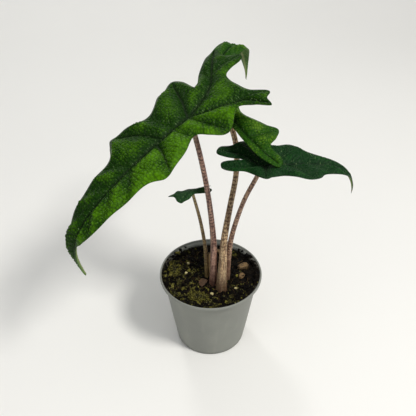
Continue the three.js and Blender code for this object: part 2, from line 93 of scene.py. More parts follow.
STALK_SIDES = 32
STALK_STEP = 0.5
STALK_BANDS = 2.1          # spacing of the dark bands along a stalk
SHEATH_WING = 0.3          # rise of a sheath's two edges over the stalk's radius
SHEATH_CHANNEL = 0.26      # depth of the groove between them
WING_ANGLE = 0.6           # radians from the groove to each edge
WING_WIDTH = 0.26
CHANNEL_WIDTH = 0.42
JOINT_OVERRUN = 0.8        # how far a stalk's centre line runs on past the blade's middle surface
JOINT_SINK = 1.05          # how far below that surface the stalk itself stops

# A leaf is laid out flat first. p runs along the midrib: 0 where the stalk joins, positive towards
# the drip tip. q runs across it, positive to the right of someone looking to the tip.
# Each station is (p, heading, pitch, fold, curl) in degrees, curl per 10 mm of width.
# Each vein is a list of (p, q) from its root to its end, after its half width.
LEAVES = {
    "leaf_front": {
        "joint": (-10.5, -8, 156.5),
        "stations": [
            (-45, 222, -20, 6, -5), (0, 222, -18, 5, -5), (20, 221, -23, 4, -6), (40, 218, -30, 4, -7),
            (60, 214, -39, 4, -8), (74, 210, -56, 2, -8), (84, 208, -80, 0, -6), (92, 208, -98, 0, 0),
            (105, 208, -114, 0, 0),
        ],
        "outline": [
            (104, 1.5), (96, 6), (86, 10), (72, 12), (54, 14), (41, 15), (36, 20.5), (32, 26.3),
            (26, 26.8), (18, 21), (12, 19.2), (4, 21.5), (-5, 27.6), (-12, 28.4), (-15.5, 22),
            (-16.4, 12.5), (-25, 20), (-33, 24), (-40.5, 28.8), (-44, 27), (-41.8, 18.5), (-45.8, 10.5),
            (-43, 7.4), (-36, 7.3), (-30.5, 5), (-28.7, -4), (-28.6, -13), (-33.4, -20.6), (-28.6, -24),
            (-26, -29), (-22.5, -21.5), (-17, -15.8), (-7, -22.6), (-1.5, -22.5), (3, -18), (7.5, -12.6),
            (16, -15.4), (25, -18.3), (31, -18.5), (38, -14.2), (54, -12.2), (70, -9), (78, -5),
            (83, -1.2), (93, -0.8),
        ],
        "veins": [
            (1.0, [(0, 0), (40, 0.6), (62, 0.8), (80, 0.6), (92, 2), (103, 1.5)]),
            (0.8, [(1, 0), (-4.5, 9.5), (-8, 17), (-12, 26)]),
            (0.8, [(17, 0.3), (21.5, 12), (29, 25)]),
            (0.8, [(21, 0), (22.5, -6), (27, -16.5)]),
            (0.7, [(1, 0), (-1, -9), (-4, -20)]),
            (0.45, [(36, 0.4), (40, 7), (46, 13)]),
            (0.45, [(38, 0.4), (43, -6), (49, -11.5)]),
            (0.4, [(49, 0.5), (54, 7), (60, 12)]),
            (0.4, [(51, 0.5), (56, -5), (63, -9.5)]),
            (0.4, [(62, 0.7), (67, 6), (74, 10.5)]),
            (0.35, [(64, 0.7), (69, -4), (74, -7)]),
            (0.9, [(0, 0), (-9, 2.3), (-16, 4.6), (-22, 8.4), (-30, 15.5), (-42.5, 27.6)]),
            (0.6, [(-27, 12.8), (-36.5, 13.4), (-44.6, 10.6)]),
            (0.5, [(-22, 8.4), (-25, 13), (-26, 19)]),
            (0.9, [(0, 0), (-6, -4.4), (-17, -11), (-23, -16), (-26.4, -26)]),
            (0.6, [(-17, -11), (-25, -15), (-32, -20)]),
            (0.4, [(9, 0), (11, 8), (12, 17)]),
            (0.4, [(10, 0), (10, -6), (8.5, -11.5)]),
        ],
        "ripple": 0.7, "ripple_length": 17, "step": FINE_STEP, "side_spacing": 3.2, "cell": 1.45,
        # painted light: the near half of this blade is painted lighter
        "relief": 1.0, "tone": 0.34, "near_half_light": 0.4, "tip_tone": 0.5, "slot": "leaf",
        "colours": ("#0d2d02", "#4e7f02", "#041203"),
    },
    "leaf_back": {
        "joint": (4, 14, 152),
        "stations": [
            (-42, 104, 21, 6, -5), (0, 104, 23, 6, -5), (15, 90, 28, 6, -5), (28, 68, 27, 4, -5),
            (40, 56, 6, 4, -5), (50, 52, -40, 2, -5), (60, 48, -72, 0, 0), (78, 48, -88, 0, 0),
        ],
        "outline": [
            (74, 0), (66, 1.4), (57, 4), (48, 7.5), (38, 8.5), (27, 5), (18, 4.5), (12, 8.5), (7, 12),
            (2, 11.5), (-4.2, 9.3), (-9.6, 11.3), (-16.4, 19.6), (-19.5, 26), (-26, 22.6), (-30, 18.5),
            (-36, 21.6), (-41.8, 21), (-42.4, 17), (-34, 10.4), (-24, 6), (-15.7, 2.8), (-12.4, -2),
            (-14.5, -8), (-16.4, -12), (-13, -14.6), (-7, -12), (-2, -9), (4, -11.5), (9, -12), (14, -9),
            (22, -6.5), (32, -6.5), (42, -6.5), (51, -5.5), (60, -3), (68, -1),
        ],
        "veins": [
            (0.9, [(0, 0), (30, 0), (60, 0), (73, 0)]),
            (0.9, [(0, 0), (-12, 5), (-24, 9.8), (-32, 14), (-40.5, 18.8)]),
            (0.6, [(-22.5, 9.2), (-22, 17), (-19.6, 24.5)]),
            (0.5, [(-31, 13.4), (-34, 16), (-37, 20.5)]),
            (0.7, [(0, 0), (-9, -5.5), (-14.5, -12.5)]),
            (0.6, [(3, 0), (6, 6), (7, 11)]),
            (0.6, [(4, 0), (7, -6), (8, -11)]),
            (0.4, [(28, 0), (34, 4), (39, 8)]),
            (0.4, [(28, 0), (34, -4), (38, -6)]),
            (0.35, [(42, 0), (47, 4), (50, 6.5)]),
            (0.35, [(42, 0), (46, -3), (50, -5)]),
        ],
        "ripple": 0.6, "ripple_length": 14, "step": FINE_STEP, "side_spacing": 2.8, "cell": 1.4,
        "relief": 0.9, "tone": 0.34, "near_half_light": 0.0, "tip_tone": 0.9, "slot": "leaf",
        "colours": ("#174304", "#6f9724", "#061a06"),
    },
    "leaf_right": {
        "joint": (24.3, -12, 131.7),
        "stations": [
            (-24, 0, 3, 15, -3), (0, 0, 3, 15, -3), (20, 0, 2, 15, -3), (33, 0, -6, 12, -3),
            (42, 0, -34, 8, -3), (48, 0, -66, 4, 0), (60, 0, -98, 0, 0),
        ],
        "outline": [
            (57.5, 0), (51.5, 1), (47, 2.5), (42.5, 5.5), (37, 8.5), (29.5, 12.2), (26, 17.4),
            (21.5, 18.4), (15, 16.4), (9.3, 14), (4.4, 15.4), (1, 17.8), (-3.8, 11.6), (-8.5, 6.6),
            (-14, 5.8), (-18.3, 2.4), (-19.6, -2.6), (-16.5, -4.6), (-8.6, -5), (-16.4, -7.1),
            (-21.4, -10), (-19.8, -14.4), (-14.2, -15.8), (-8.5, -17.8), (0, -16.5), (7, -13.8),
            (13.5, -14.6), (18.5, -12.4), (24, -8.6), (31, -5.6), (38, -3.8), (44, -2.5), (50, -1),
        ],
        "veins": [
            (0.9, [(0, 0), (30, 0), (57, 0)]),
            (0.7, [(0, 0), (-8, -8), (-18.5, -12)]),
            (0.7, [(0, 0), (-7, 2), (-17.5, 0)]),
            (0.6, [(2, 0), (1.5, 8), (1, 16.5)]),
            (0.6, [(2, 0), (-2, -8), (-6, -16)]),
            (0.6, [(13, 0), (18, 8), (23, 17)]),
            (0.5, [(8, 0), (11, -7), (13.5, -13.5)]),
            (0.4, [(25, 0), (28, 5), (33, 9.5)]),
            (0.4, [(22, 0), (24, -4), (26, -7)]),
            (0.35, [(36, 0), (39, 3), (42, 5)]),
        ],
        "ripple": 0.5, "ripple_length": 13, "step": FINE_STEP, "side_spacing": 2.6, "cell": 1.3,
        "relief": 0.8, "tone": 0.2, "near_half_light": 0.0, "tip_tone": 0.3, "slot": "leaf_dark",
        "colours": ("#0f3013", "#275a1f", "#041509"),
    },
    "leaf_small": {
        "joint": (-9.1, -1.6, 110),
        "stations": [
            (-11, 192, -4, -24, -20), (0, 189, -9, -24, -20), (8, 184, -13, -22, -20),
            (15, 180, -26, -10, -6),
        ],
        "outline": [
            (14, 0), (11, 1.5), (9.4, 4.4), (7.6, 5.8), (5.6, 4.9), (3, 4.2), (0, 2.4), (-4, 3),
            (-7.6, 3.6), (-9.6, 2.4), (-7, 0.4), (-9.4, -1.8), (-7.6, -3.2), (-3.6, -2.8), (0.4, -2.4),
            (3, -4.4), (5.6, -5.2), (7.6, -5.9), (9.6, -4.5), (10.8, -1.6),
        ],
        "veins": [
            (0.4, [(0, 0), (7, 0), (13.5, 0)]),
            (0.3, [(0, 0), (-4, 1.4), (-8.6, 2.4)]),
            (0.3, [(0, 0), (-4, -1.3), (-8.4, -2.2)]),
            (0.3, [(2, 0), (5, 2.4), (7.6, 5)]),
            (0.3, [(2, 0), (5, -2.4), (7.6, -5)]),
        ],
        "ripple": 0.2, "ripple_length": 5, "step": 0.25, "side_spacing": 1.5, "cell": 0.8, "relief": 0.4,
        "tone": 0.2, "near_half_light": 0.0, "tip_tone": 0.2, "slot": "leaf_dark",
        "colours": ("#1d3c1f", "#436a3c", "#0b2010"),
    },
}

# Each stalk: its centre line from inside the crown to the joint, its radii, how sharply it thickens
# at the foot, the height of its open sheath, which way the sheath opens, and its colours.
STALKS = {
    "petiole_front": {
        "leaf": "leaf_front", "slot": "stalk_reddish",
        "path": [
            (1.6, -8.8, 38), (1.4, -8.6, 50), (1.7, -6.6, 63), (1.6, -4.6, 76), (-2.1, -5.8, 114),
            (-7.6, -7.4, 145), (-11.4, -8.2, 159),
        ],
        "radii": (2.7, 1.3), "flare": 3.0, "sheath": (22, 245),
        "colours": ("#9a7260", "#3f1e1c", "#c2a08a"),
    },
    "petiole_back": {
        "leaf": "leaf_back", "slot": "stalk_tan",
        "path": [
            (5.8, -13, 38), (6, -12.9, 50), (6.7, -9.8, 64), (7.5, -5.4, 80), (10.4, 1, 97), (13.4, 7, 115),
            (12.9, 11.6, 130.5), (8.4, 14.4, 144), (0.6, 16.6, 157),
        ],
        "radii": (3.8, 1.45), "flare": 4.0, "sheath": (30, 292),
        "colours": ("#b8986e", "#4f3320", "#d6be97"),
    },
    "petiole_right": {
        "leaf": "leaf_right", "slot": "stalk_tan",
        "path": [
            (7.2, -6, 38), (9.2, -4.4, 52), (10.2, -4, 67), (11.5, -5, 81), (16.9, -10, 109),
            (22.6, -12, 125.3), (27, -12.6, 137),
        ],
        "radii": (2.2, 1.15), "flare": 2.5, "sheath": (20, 310),
        "colours": ("#a37f67", "#44201a", "#c6a585"),
    },
    "petiole_small": {
        "leaf": "leaf_small", "slot": "stalk_olive",
        "path": [
            (-1.2, -4.6, 38), (-2.2, -3.6, 50), (-3, -1.2, 68), (-5.6, -1.2, 88), (-9.2, -2, 106),
            (-11, -2.2, 114),
        ],
        "radii": (1.3, 0.75), "flare": 1.0, "sheath": (12, 240),
        "colours": ("#857048", "#523d28", "#a2905f"),
    },
}

STUB = [(0.4, -4.5, 41), (0.35, -4.3, 50), (-0.3, -3.2, 58), (-0.3, -2, 66)]
STUB_RADII = (1.0, 0.8)

CROWN = {"centre": (3.4, -9, 38.8), "radius": 8.4, "half_height": 10.8}

SCALE = {
    "joint": (-4.4, -9.4, 50.3),
    "stations": [(-4, 250, 14, 10, 60), (4, 250, -8, 10, 60)],
    "outline": [(3.6, 0), (2, 2), (-1, 2.4), (-3.4, 1.2), (-3.6, -1), (-1, -2.3), (2, -1.8)],
    "ripple": 0.0,
    "ripple_length": 1.0,
}

# Loose pieces lie on the soil at (x, y); size is half the length, width and height.
MOSS = {
    "moss_left": {"at": (-21.6, 3.4), "size": (3.6, 7, 1.8), "turn": 6},
    "moss_front": {"at": (-7, -19.6), "size": (6.4, 3.6, 1.7), "turn": -20},
    "moss_back": {"at": (11.6, 18.4), "size": (5.2, 2.8, 1.6), "turn": -33},
}
PERLITE = {
    "perlite_front": {"at": (0.6, -17.2), "size": (1.3, 1.1, 1.1)},
    "perlite_left": {"at": (-13.6, 8.4), "size": (1.2, 1, 1)},
    "perlite_side": {"at": (-14.6, 0.6), "size": (1, 0.9, 0.9)},
    "perlite_right": {"at": (14.4, -12.6), "size": (1.1, 0.9, 0.9)},
}
BARK = {
    "bark_right": {"at": (19.4, 5.4), "size": (6.2, 4, 1.6), "turn": 25, "tilt": 6},
    "bark_back": {"at": (4, 19.4), "size": (5.4, 3.4, 1.5), "turn": -20, "tilt": -5},
    "bark_side": {"at": (18.2, -2.6), "size": (4.4, 3, 1.4), "turn": 70, "tilt": 4},
}

SCALE_HALF = 0.06          # half the thickness of the papery scale
PERLITE_SHARE = 0.8        # size of a perlite grain as a share of its CAD block
LEAST_CRUMB = 0.28         # half the size of the smallest crumbs
CRUMBS = 1600
SHELF_CRUMBS = 900         # crumbs thrown up on to the shelf inside the lip
CRUMB_TONES = [0.05, 0.2, 0.45, 0.8]
CRUMB_TONE_SHARES = [0.45, 0.33, 0.16, 0.06]
FLECKS = 900
FIBRES = 260
MOSS_SHOOTS = 260


# ------------------------------------------------------------------ meshes
def make_mesh(name, points, faces, attributes=None, smooth=True):
    """A mesh object in metres from points in millimetres. attributes maps a name to one value per point."""
    mesh = bpy.data.meshes.new(name)
    mesh.from_pydata((np.asarray(points) * MM).tolist(), [], faces)
    for key, values in (attributes or {}).items():
        values = np.asarray(values, dtype=np.float32)
        if values.ndim == 1:
            layer = mesh.attributes.new(key, "FLOAT", "POINT")
            layer.data.foreach_set("value", values)
        else:
            layer = mesh.attributes.new(key, "FLOAT_VECTOR", "POINT")
            layer.data.foreach_set("vector", values.ravel())
    mesh.polygons.foreach_set("use_smooth", [smooth] * len(mesh.polygons))
    mesh.update()
    obj = bpy.data.objects.new(name, mesh)
    bpy.context.scene.collection.objects.link(obj)
    return obj


def join_parts(parts):
    """One (points, faces, attributes) from several with the same attribute names."""
    points = []
    faces = []
    attributes = {}
    start = 0
    for part_points, part_faces, part_attributes in parts:
        points.append(part_points)
        faces.extend(tuple(corner + start for corner in face) for face in part_faces)
        for key, values in part_attributes.items():
            attributes.setdefault(key, []).append(values)
        start += len(part_points)
    joined = {key: np.concatenate(values) for key, values in attributes.items()}
    return np.concatenate(points), faces, joined


def smooth_path(points, step, closed=False, spacing_power=0.0):
    """Points about `step` apart along a Catmull-Rom curve through the given points.
    A spacing_power of 0.5 keeps the curve tight where the points are unevenly spaced."""
    points = np.asarray(points, dtype=float)
    if closed:
        padded = np.vstack([points[-1], points, points[:2]])
    else:
        padded = np.vstack([2 * points[0] - points[1], points, 2 * points[-1] - points[-2]])
    pieces = []
    for a, b, c, d in zip(padded, padded[1:], padded[2:], padded[3:]):
        before, during, after = (np.linalg.norm(v - u) ** spacing_power for u, v in ((a, b), (b, c), (c, d)))
        leaving = ((b - a) / before - (c - a) / (before + during)) * during + (c - b)
        arriving = ((d - c) / after - (d - b) / (during + after)) * during + (c - b)
        count = max(2, int(np.ceil(np.linalg.norm(c - b) / step)))
        t = (np.arange(count) / count)[:, None]
        curve = b + leaving * t + (3 * (c - b) - 2 * leaving - arriving) * t**2
        pieces.append(curve + (2 * (b - c) + leaving + arriving) * t**3)
    if not closed:
        pieces.append(points[-1:])
    return np.vstack(pieces)


def path_lengths(path):
    """Distance along the path to each of its points."""
    return np.concatenate([[0], np.cumsum(np.linalg.norm(np.diff(path, axis=0), axis=1))])


def merge_points(piece):
    """Joins the points of a piece that lie in the same place."""
    mesh = bmesh.new()
    mesh.from_mesh(piece.data)
    bmesh.ops.remove_doubles(mesh, verts=mesh.verts, dist=0.001 * MM)
    mesh.to_mesh(piece.data)
    mesh.free()


def rotation(axis, angle):
    """The 3x3 matrix that turns by `angle` radians about a unit axis."""
    x, y, z = axis
    cosine = math.cos(angle)
    cross = np.array([[0, -z, y], [z, 0, -x], [-y, x, 0]])
    return cosine * np.eye(3) + math.sin(angle) * cross + (1 - cosine) * np.outer(axis, axis)


def path_frames(path):
    """Two unit vectors across the path at each point, turning as little as they can."""
    tangents = np.gradient(path, axis=0)
    tangents /= np.linalg.norm(tangents, axis=1)[:, None]
    start = np.cross(tangents[0], (0.0, 1.0, 0.0))
    across = [start / np.linalg.norm(start)]
    for tangent in tangents[1:]:
        vector = across[-1] - tangent * np.dot(across[-1], tangent)
        across.append(vector / np.linalg.norm(vector))
    across = np.array(across)
    return across, np.cross(tangents, across)


def grid_faces(rows, columns, wrap):
    """Quads over a grid of points stored row by row; wrap joins the last column to the first."""
    faces = []
    last = columns if wrap else columns - 1
    for row in range(rows - 1):
        for column in range(last):
            a = row * columns + column
            b = row * columns + (column + 1) % columns
            faces.append((a, b, b + columns, a + columns))
    return faces


def tube_faces(rows, sides):
    """Faces of a tube of `rows` rings of points, closed at both ends."""
    count = rows * sides
    return grid_faces(rows, sides, True) + [tuple(range(sides))[::-1], tuple(range(count - sides, count))]


def swept(path, radii, sides):
    """A round tube along the path, closed at both ends, as (points, faces, angle, length along)."""
    across, up = path_frames(path)
    angles = 2 * np.pi * np.arange(sides) / sides
    ring = np.cos(angles)[None, :, None] * across[:, None] + np.sin(angles)[None, :, None] * up[:, None]
    points = path[:, None] + ring * np.asarray(radii)[:, None, None]
    rows = len(path)
    lengths = np.repeat(path_lengths(path), sides)
    return points.reshape(-1, 3), tube_faces(rows, sides), np.tile(angles, rows), lengths


def lathe(profile, sides):
    """The surface swept by an open (radius, height) profile about Z."""
    angles = 2 * np.pi * np.arange(sides) / sides
    profile = np.asarray(profile, dtype=float)
    x = profile[:, :1] * np.cos(angles)
    y = profile[:, :1] * np.sin(angles)
    z = np.repeat(profile[:, 1:], sides, axis=1)
    points = np.stack([x, y, z], axis=-1).reshape(-1, 3)
    return points, grid_faces(len(profile), sides, True)


def fractal(points, scale, octaves=3):
    """Smooth noise from about -1 to 1 at each point, with features about `scale` across."""
    values = np.zeros(len(points))
    for octave in range(octaves):
        size = scale / 2**octave
        values += [noise.noise(Vector(point / size)) / 2**octave for point in points]
    return values


def lump(rng, centre, size, knobs, detail):
    """A knobbly ball as (points, faces). size is the half extent on each axis."""
    directions, faces = BALLS[detail]
    shift = rng.uniform(-50, 50, 3)
    bumps = np.array([noise.noise(Vector(direction * 1.3 + shift)) for direction in directions])
    points = directions * (1 + knobs * bumps)[:, None] * np.asarray(size)
    turn = rotation((0, 0, 1), rng.uniform(0, 2 * np.pi))
    return points @ turn.T + centre, faces


def ball(detail):
    """A unit ball of triangles: an icosahedron split `detail` times."""
    ratio = (1 + math.sqrt(5)) / 2
    points = []
    for a in (-1, 1):
        for b in (-ratio, ratio):
            points += [(a, b, 0), (0, a, b), (b, 0, a)]
    points = [np.array(point) / math.hypot(1, ratio) for point in points]
    edge = 2 / math.hypot(1, ratio)
    near = [[j for j, q in enumerate(points) if abs(np.linalg.norm(p - q) - edge) < 1e-6] for p in points]
    faces = []
    for a in range(12):
        for b in near[a]:
            for c in near[b]:
                if a < b < c and c in near[a]:
                    outward = np.dot(np.cross(points[b] - points[a], points[c] - points[a]), points[a]) > 0
                    faces.append((a, b, c) if outward else (a, c, b))
    for _ in range(detail):
        middles = {}
        smaller = []
        for a, b, c in faces:
            corners = []
            for pair in ((a, b), (b, c), (c, a)):
                key = tuple(sorted(pair))
                if key not in middles:
                    middle = points[key[0]] + points[key[1]]
                    points.append(middle / np.linalg.norm(middle))
                    middles[key] = len(points) - 1
                corners.append(middles[key])
            ab, bc, ca = corners
            smaller += [(a, ab, ca), (b, bc, ab), (c, ca, bc), (ab, bc, ca)]
        faces = smaller
    return np.array(points), faces


BALLS = {detail: ball(detail) for detail in (1, 2, 3)}


def fill_flat(loops, step, rng):
    """Triangles over the flat region inside the first loop and outside the rest, about `step` apart.
    The loops' own points come first in the result, in order."""
    rims = np.vstack(loops)
    tree = kd_tree(rims)
    low = rims.min(axis=0)
    high = rims.max(axis=0)
    rows = np.arange(low[1], high[1], step * math.sqrt(3) / 2)
    columns = np.arange(low[0], high[0] + step, step)
    shifted = [np.stack([columns + step / 2 * (row % 2), np.full(len(columns), y)], axis=1)
               for row, y in enumerate(rows)]
    grid = np.vstack(shifted)
    grid += rng.uniform(-0.12, 0.12, grid.shape) * step
    grid = grid[inside(grid, loops)]
    room = np.array([tree.find((x, y, 0))[2] for x, y in grid])
    points = np.vstack([rims, grid[room > 0.55 * step]])
    edges = []
    start = 0
    for loop in loops:
        edges += [(start + i, start + (i + 1) % len(loop)) for i in range(len(loop))]
        start += len(loop)
    found = delaunay_2d_cdt([Vector(point) for point in points], edges, [], 0, 1e-6)
    triangles = np.array(found[2])
    corners = points[triangles]
    turn = np.cross(corners[:, 1] - corners[:, 0], corners[:, 2] - corners[:, 0])
    triangles[turn < 0] = triangles[turn < 0][:, ::-1]
    kept = inside(corners.mean(axis=1), loops) & (np.abs(turn) > 1e-9)
    return points, triangles[kept]


def inside(points, loops):
    """True for each flat point that an odd number of the loops goes round."""
    crossings = np.zeros(len(points), dtype=int)
    for loop in loops:
        for (x0, y0), (x1, y1) in zip(loop, np.roll(loop, -1, axis=0)):
            if y0 != y1:
                spans = (y0 > points[:, 1]) != (y1 > points[:, 1])
                crossings += spans & (points[:, 0] < x0 + (points[:, 1] - y0) * (x1 - x0) / (y1 - y0))
    return crossings % 2 == 1


def ring_points(radius, angle):
    """Flat points at these distances and angles from the middle."""
    return np.column_stack([radius * np.cos(angle), radius * np.sin(angle)])


def with_zero(flat):
    """Flat points with a third coordinate of zero."""
    return np.column_stack([flat, np.zeros(len(flat))])


def sheet_faces(outline, triangles, count):
    """Faces of a closed sheet with the outline's points first: its top, its underside, whose points
    come `count` later, and the strip round its rim."""
    following = np.roll(outline, -1, axis=0)
    turned = np.sum(outline[:, 0] * following[:, 1] - outline[:, 1] * following[:, 0]) > 0
    faces = [(a, c, b) for a, b, c in triangles]
    faces += [(a + count, b + count, c + count) for a, b, c in triangles]
    for a in range(len(outline)):
        b = (a + 1) % len(outline)
        faces.append((b, a, a + count, b + count)[:: -1 if turned else 1])
    return faces


def kd_tree(flat):
    """Finds the nearest of the flat points to any place."""
    tree = KDTree(len(flat))
    for index, (x, y) in enumerate(flat):
        tree.insert((x, y, 0), index)
    tree.balance()
    return tree


def smoothstep(value, start, end):
    """0 up to start and 1 from end on, with a soft rise between them."""
    share = np.clip((value - start) / (end - start), 0, 1)
    return share * share * (3 - 2 * share)


# ------------------------------------------------------------------ materials
def colour(code):
    """Linear RGBA from a hex code."""
    channels = [int(code[i:i + 2], 16) / 255 for i in (1, 3, 5)]
    linear = [c / 12.92 if c <= 0.04045 else ((c + 0.055) / 1.055) ** 2.4 for c in channels]
    return (*linear, 1.0)


class Paint:
    """A node material in the making: each method adds a node and returns its output."""

    def __init__(self, name):
        self.material = bpy.data.materials.new(name)
        self.material.use_nodes = True
        self.nodes = self.material.node_tree.nodes
        self.links = self.material.node_tree.links
        self.shader = self.nodes["Principled BSDF"]

    def feed(self, socket, value):
        if isinstance(value, bpy.types.NodeSocket):
            self.links.new(value, socket)
        else:
            socket.default_value = value

    def add(self, kind, inputs, output=0, **settings):
        """Adds a node with these settings and inputs, and returns one of its outputs."""
        node = self.nodes.new("ShaderNode" + kind)
        for key, value in settings.items():
            setattr(node, key, value)
        for key, value in inputs.items():
            self.feed(node.inputs[key], value)
        return node.outputs[output]

    def place(self):
        """The position on the part, in metres."""
        return self.add("TexCoord", {}, "Object")

    def stored(self, name, output="Fac"):
        """A value or vector stored at the mesh's points."""
        return self.add("Attribute", {}, output, attribute_name=name)

    def scaled(self, vector, factors):
        return self.add("VectorMath", {0: vector, 1: factors}, operation="MULTIPLY")

    def cloud(self, where, size, detail=3.0, distortion=0.0):
        """Soft noise from 0 to 1 with features about `size` across, in the units of `where`."""
        inputs = {"Vector": where, "Scale": 1 / size, "Detail": detail, "Distortion": distortion}
        return self.add("TexNoise", inputs)

    def rings(self, flow, spacing):
        """Uneven rings round a stem, `spacing` apart along it, from 0 to 1."""
        inputs = {"Vector": flow, "Scale": math.pi / 10 / spacing, "Distortion": 4.5, "Detail": 2.0}
        inputs["Detail Scale"] = 2.2
        return self.add("TexWave", inputs, "Fac", bands_direction="Z")

    def cells(self, where, size):
        """Distance from the nearest of scattered points about `size` apart, from 0 to about 1."""
        return self.add("TexVoronoi", {"Vector": where, "Scale": 1 / size}, "Distance")

    def ramp(self, value, start, end, low=0.0, high=1.0):
        """`value` eased from low at start to high at end."""
        inputs = {"Value": value, "From Min": start, "From Max": end, "To Min": low, "To Max": high}
        return self.add("MapRange", inputs, interpolation_type="SMOOTHSTEP")

    def maths(self, operation, first, second):
        return self.add("Math", {0: first, 1: second}, operation=operation)

    def mix(self, share, first, second):
        """first where share is 0, second where it is 1."""
        return self.add("Mix", {0: share, 6: first, 7: second}, 2, data_type="RGBA")

    def layer(self, under, over, value, start, end, strength=1.0):
        """`under` with `over` laid on it, ever more as value runs from start to end."""
        return self.mix(self.ramp(value, start, end, 0.0, strength), under, over)

    def bump(self, height, depth):
        """Fine relief: `height` from 0 to 1 stands for `depth` millimetres."""
        normal = self.add("Bump", {"Height": height, "Distance": depth * MM})
        self.links.new(normal, self.shader.inputs["Normal"])

    def finish(self, base, roughness, **settings):
        """Sets the surface's colour, its roughness and any other uniform shader numbers."""
        self.feed(self.shader.inputs["Base Color"], base)
        self.feed(self.shader.inputs["Roughness"], roughness)
        for key, value in settings.items():
            self.shader.inputs[key.replace("_", " ")].default_value = value
        return self.material


def leaf_material(name, colours):
    """Glossy blade from deep to bright green, darker in the veins, paler underneath; with painted shade in
    the valleys and creases, painted light on the near half and the cells' tops, and painted glints.
    """
    base, light, dark = (colour(code) for code in colours)
    paint = Paint(name)
    flat = paint.stored("flat", "Vector")
    patches = paint.cloud(flat, 9.0)
    grain = paint.cloud(flat, 0.5, 4.0)
    tone = paint.maths("ADD", paint.stored("tone"), paint.ramp(patches, 0.35, 0.7, -0.2, 0.25))
    # Painted shade in the creases between the small cells and painted light on their tops.
    tone = paint.maths("ADD", tone, paint.ramp(paint.stored("puff"), 0.0, 1.0, -0.3, 0.12))
    # Painted shade in the valleys round the main veins.
    tone = paint.maths("ADD", tone, paint.ramp(paint.stored("valley"), 0.0, 1.0, 0.0, -0.4))
    blade = paint.mix(tone, base, light)
    blade = paint.layer(blade, light, grain, 0.45, 0.75, 0.3)
    blade = paint.layer(blade, dark, paint.stored("rib"), 0.1, 0.9, 0.34)
    blade = paint.layer(blade, dark, paint.stored("vein"), 0.05, 1.0, 0.75)
    blade = paint.layer(blade, dark, paint.stored("margin"), 0.6, 0.0, 0.25)
    # Painted glints: pale flecks of highlight, most in the veins' valleys and in some patches.
    glint_share = paint.maths("ADD", paint.stored("valley"), paint.ramp(patches, 0.5, 0.7, 0.0, 0.5))
    glints = paint.ramp(paint.cloud(paint.scaled(flat, (1.0, 0.45, 1.0)), 0.55, 2.0), 0.6, 0.74, 0.0, 0.45)
    blade = paint.mix(paint.maths("MULTIPLY", glints, glint_share), blade, colour("#8fae72"))
    spots = paint.cells(flat, 4.3)
    blade = paint.layer(blade, colour("#a9bd8a"), spots, 0.05, 0.02, 0.16)
    below = paint.layer(colour("#4c6d38"), colour("#67854c"), patches, 0.3, 0.7)
    below = paint.layer(below, colour("#8d9466"), paint.stored("vein"), 0.15, 0.8, 0.85)
    below = paint.layer(below, colour("#7f8f5d"), paint.stored("rib"), 0.2, 0.9, 0.45)
    shown = paint.mix(paint.stored("under"), blade, below)
    beads = paint.maths("SUBTRACT", paint.cloud(flat, 0.45, 3.0), paint.cells(flat, 0.6))
    paint.bump(beads, 0.22)
    return paint.finish(shown, paint.ramp(grain, 0.3, 0.75, 0.28, 0.46), Specular_IOR_Level=0.07)


def stalk_material(name, colours):
    """Fleshy stalk with uneven cross bands and speckles. "flow" runs round and along the stalk."""
    base, dark, light = (colour(code) for code in colours)
    paint = Paint(name)
    flow = paint.stored("flow", "Vector")
    rings = paint.ramp(paint.rings(flow, STALK_BANDS), 0.4, 0.7)
    breaks = paint.ramp(paint.cloud(paint.scaled(flow, (0.6, 0.6, 0.4)), 1.0, 3.0), 0.4, 0.52)
    climb = paint.stored("climb")
    bands = paint.maths("MULTIPLY", rings, breaks)
    bands = paint.maths("MULTIPLY", bands, paint.ramp(climb, 0.18, 0.4, 0.35, 1.0))
    blotches = paint.cloud(paint.scaled(flow, (0.7, 0.7, 0.22)), 1.0, 3.0, 0.8)
    speckles = paint.cloud(flow, 0.4, 2.0)
    streaks = paint.cloud(paint.scaled(flow, (3.0, 3.0, 0.12)), 1.0, 3.0)
    skin = paint.layer(base, light, streaks, 0.35, 0.7)
    skin = paint.layer(skin, dark, blotches, 0.44, 0.6, 0.7)
    skin = paint.mix(paint.maths("MULTIPLY", bands, 0.95), skin, dark)
    skin = paint.layer(skin, dark, speckles, 0.52, 0.62, 0.7)
    skin = paint.layer(skin, colour("#6d7a3e"), climb, 0.82, 1.0, 0.35)
    skin = paint.layer(skin, dark, paint.stored("wing"), 0.4, 0.9, 0.65)
    uneven = paint.maths("ADD", climb, paint.ramp(blotches, 0.3, 0.7, -0.05, 0.05))
    skin = paint.layer(skin, colour("#3c251b"), uneven, 0.2, 0.07, 0.8)
    paint.bump(paint.maths("ADD", streaks, bands), 0.06)
    return paint.finish(
        skin, paint.ramp(streaks, 0.3, 0.7, 0.34, 0.5),
        Specular_IOR_Level=0.4, Subsurface_Weight=0.06, Subsurface_Scale=0.001,
    )


def pot_material():
    """Matte moulded plastic with faint scuffs, dust near the rim and drip marks."""
    paint = Paint("pot_plastic")
    place = paint.place()
    mottle = paint.cloud(place, 0.022, 3.0)
    grain = paint.cloud(place, 0.0005, 2.0)
    drips = paint.cloud(paint.scaled(place, (1.0, 1.0, 0.18)), 0.006, 4.0)
    plastic = paint.layer(colour("#7c7e77"), colour("#868880"), mottle, 0.35, 0.7)
    plastic = paint.layer(plastic, colour("#97978c"), drips, 0.52, 0.72, 0.22)
    scuffs = paint.cloud(paint.scaled(place, (0.4, 0.4, 2.6)), 0.002, 4.0, 0.6)
    plastic = paint.layer(plastic, colour("#6d6b62"), scuffs, 0.62, 0.72, 0.18)
    dirt = paint.maths("MULTIPLY", paint.stored("dirt"), paint.ramp(drips, 0.3, 0.55, 0.3, 1.0))
    plastic = paint.mix(dirt, plastic, colour("#2c281c"))
    paint.bump(paint.maths("ADD", grain, paint.ramp(scuffs, 0.5, 0.8)), 0.02)
    return paint.finish(plastic, paint.ramp(mottle, 0.3, 0.75, 0.5, 0.66))


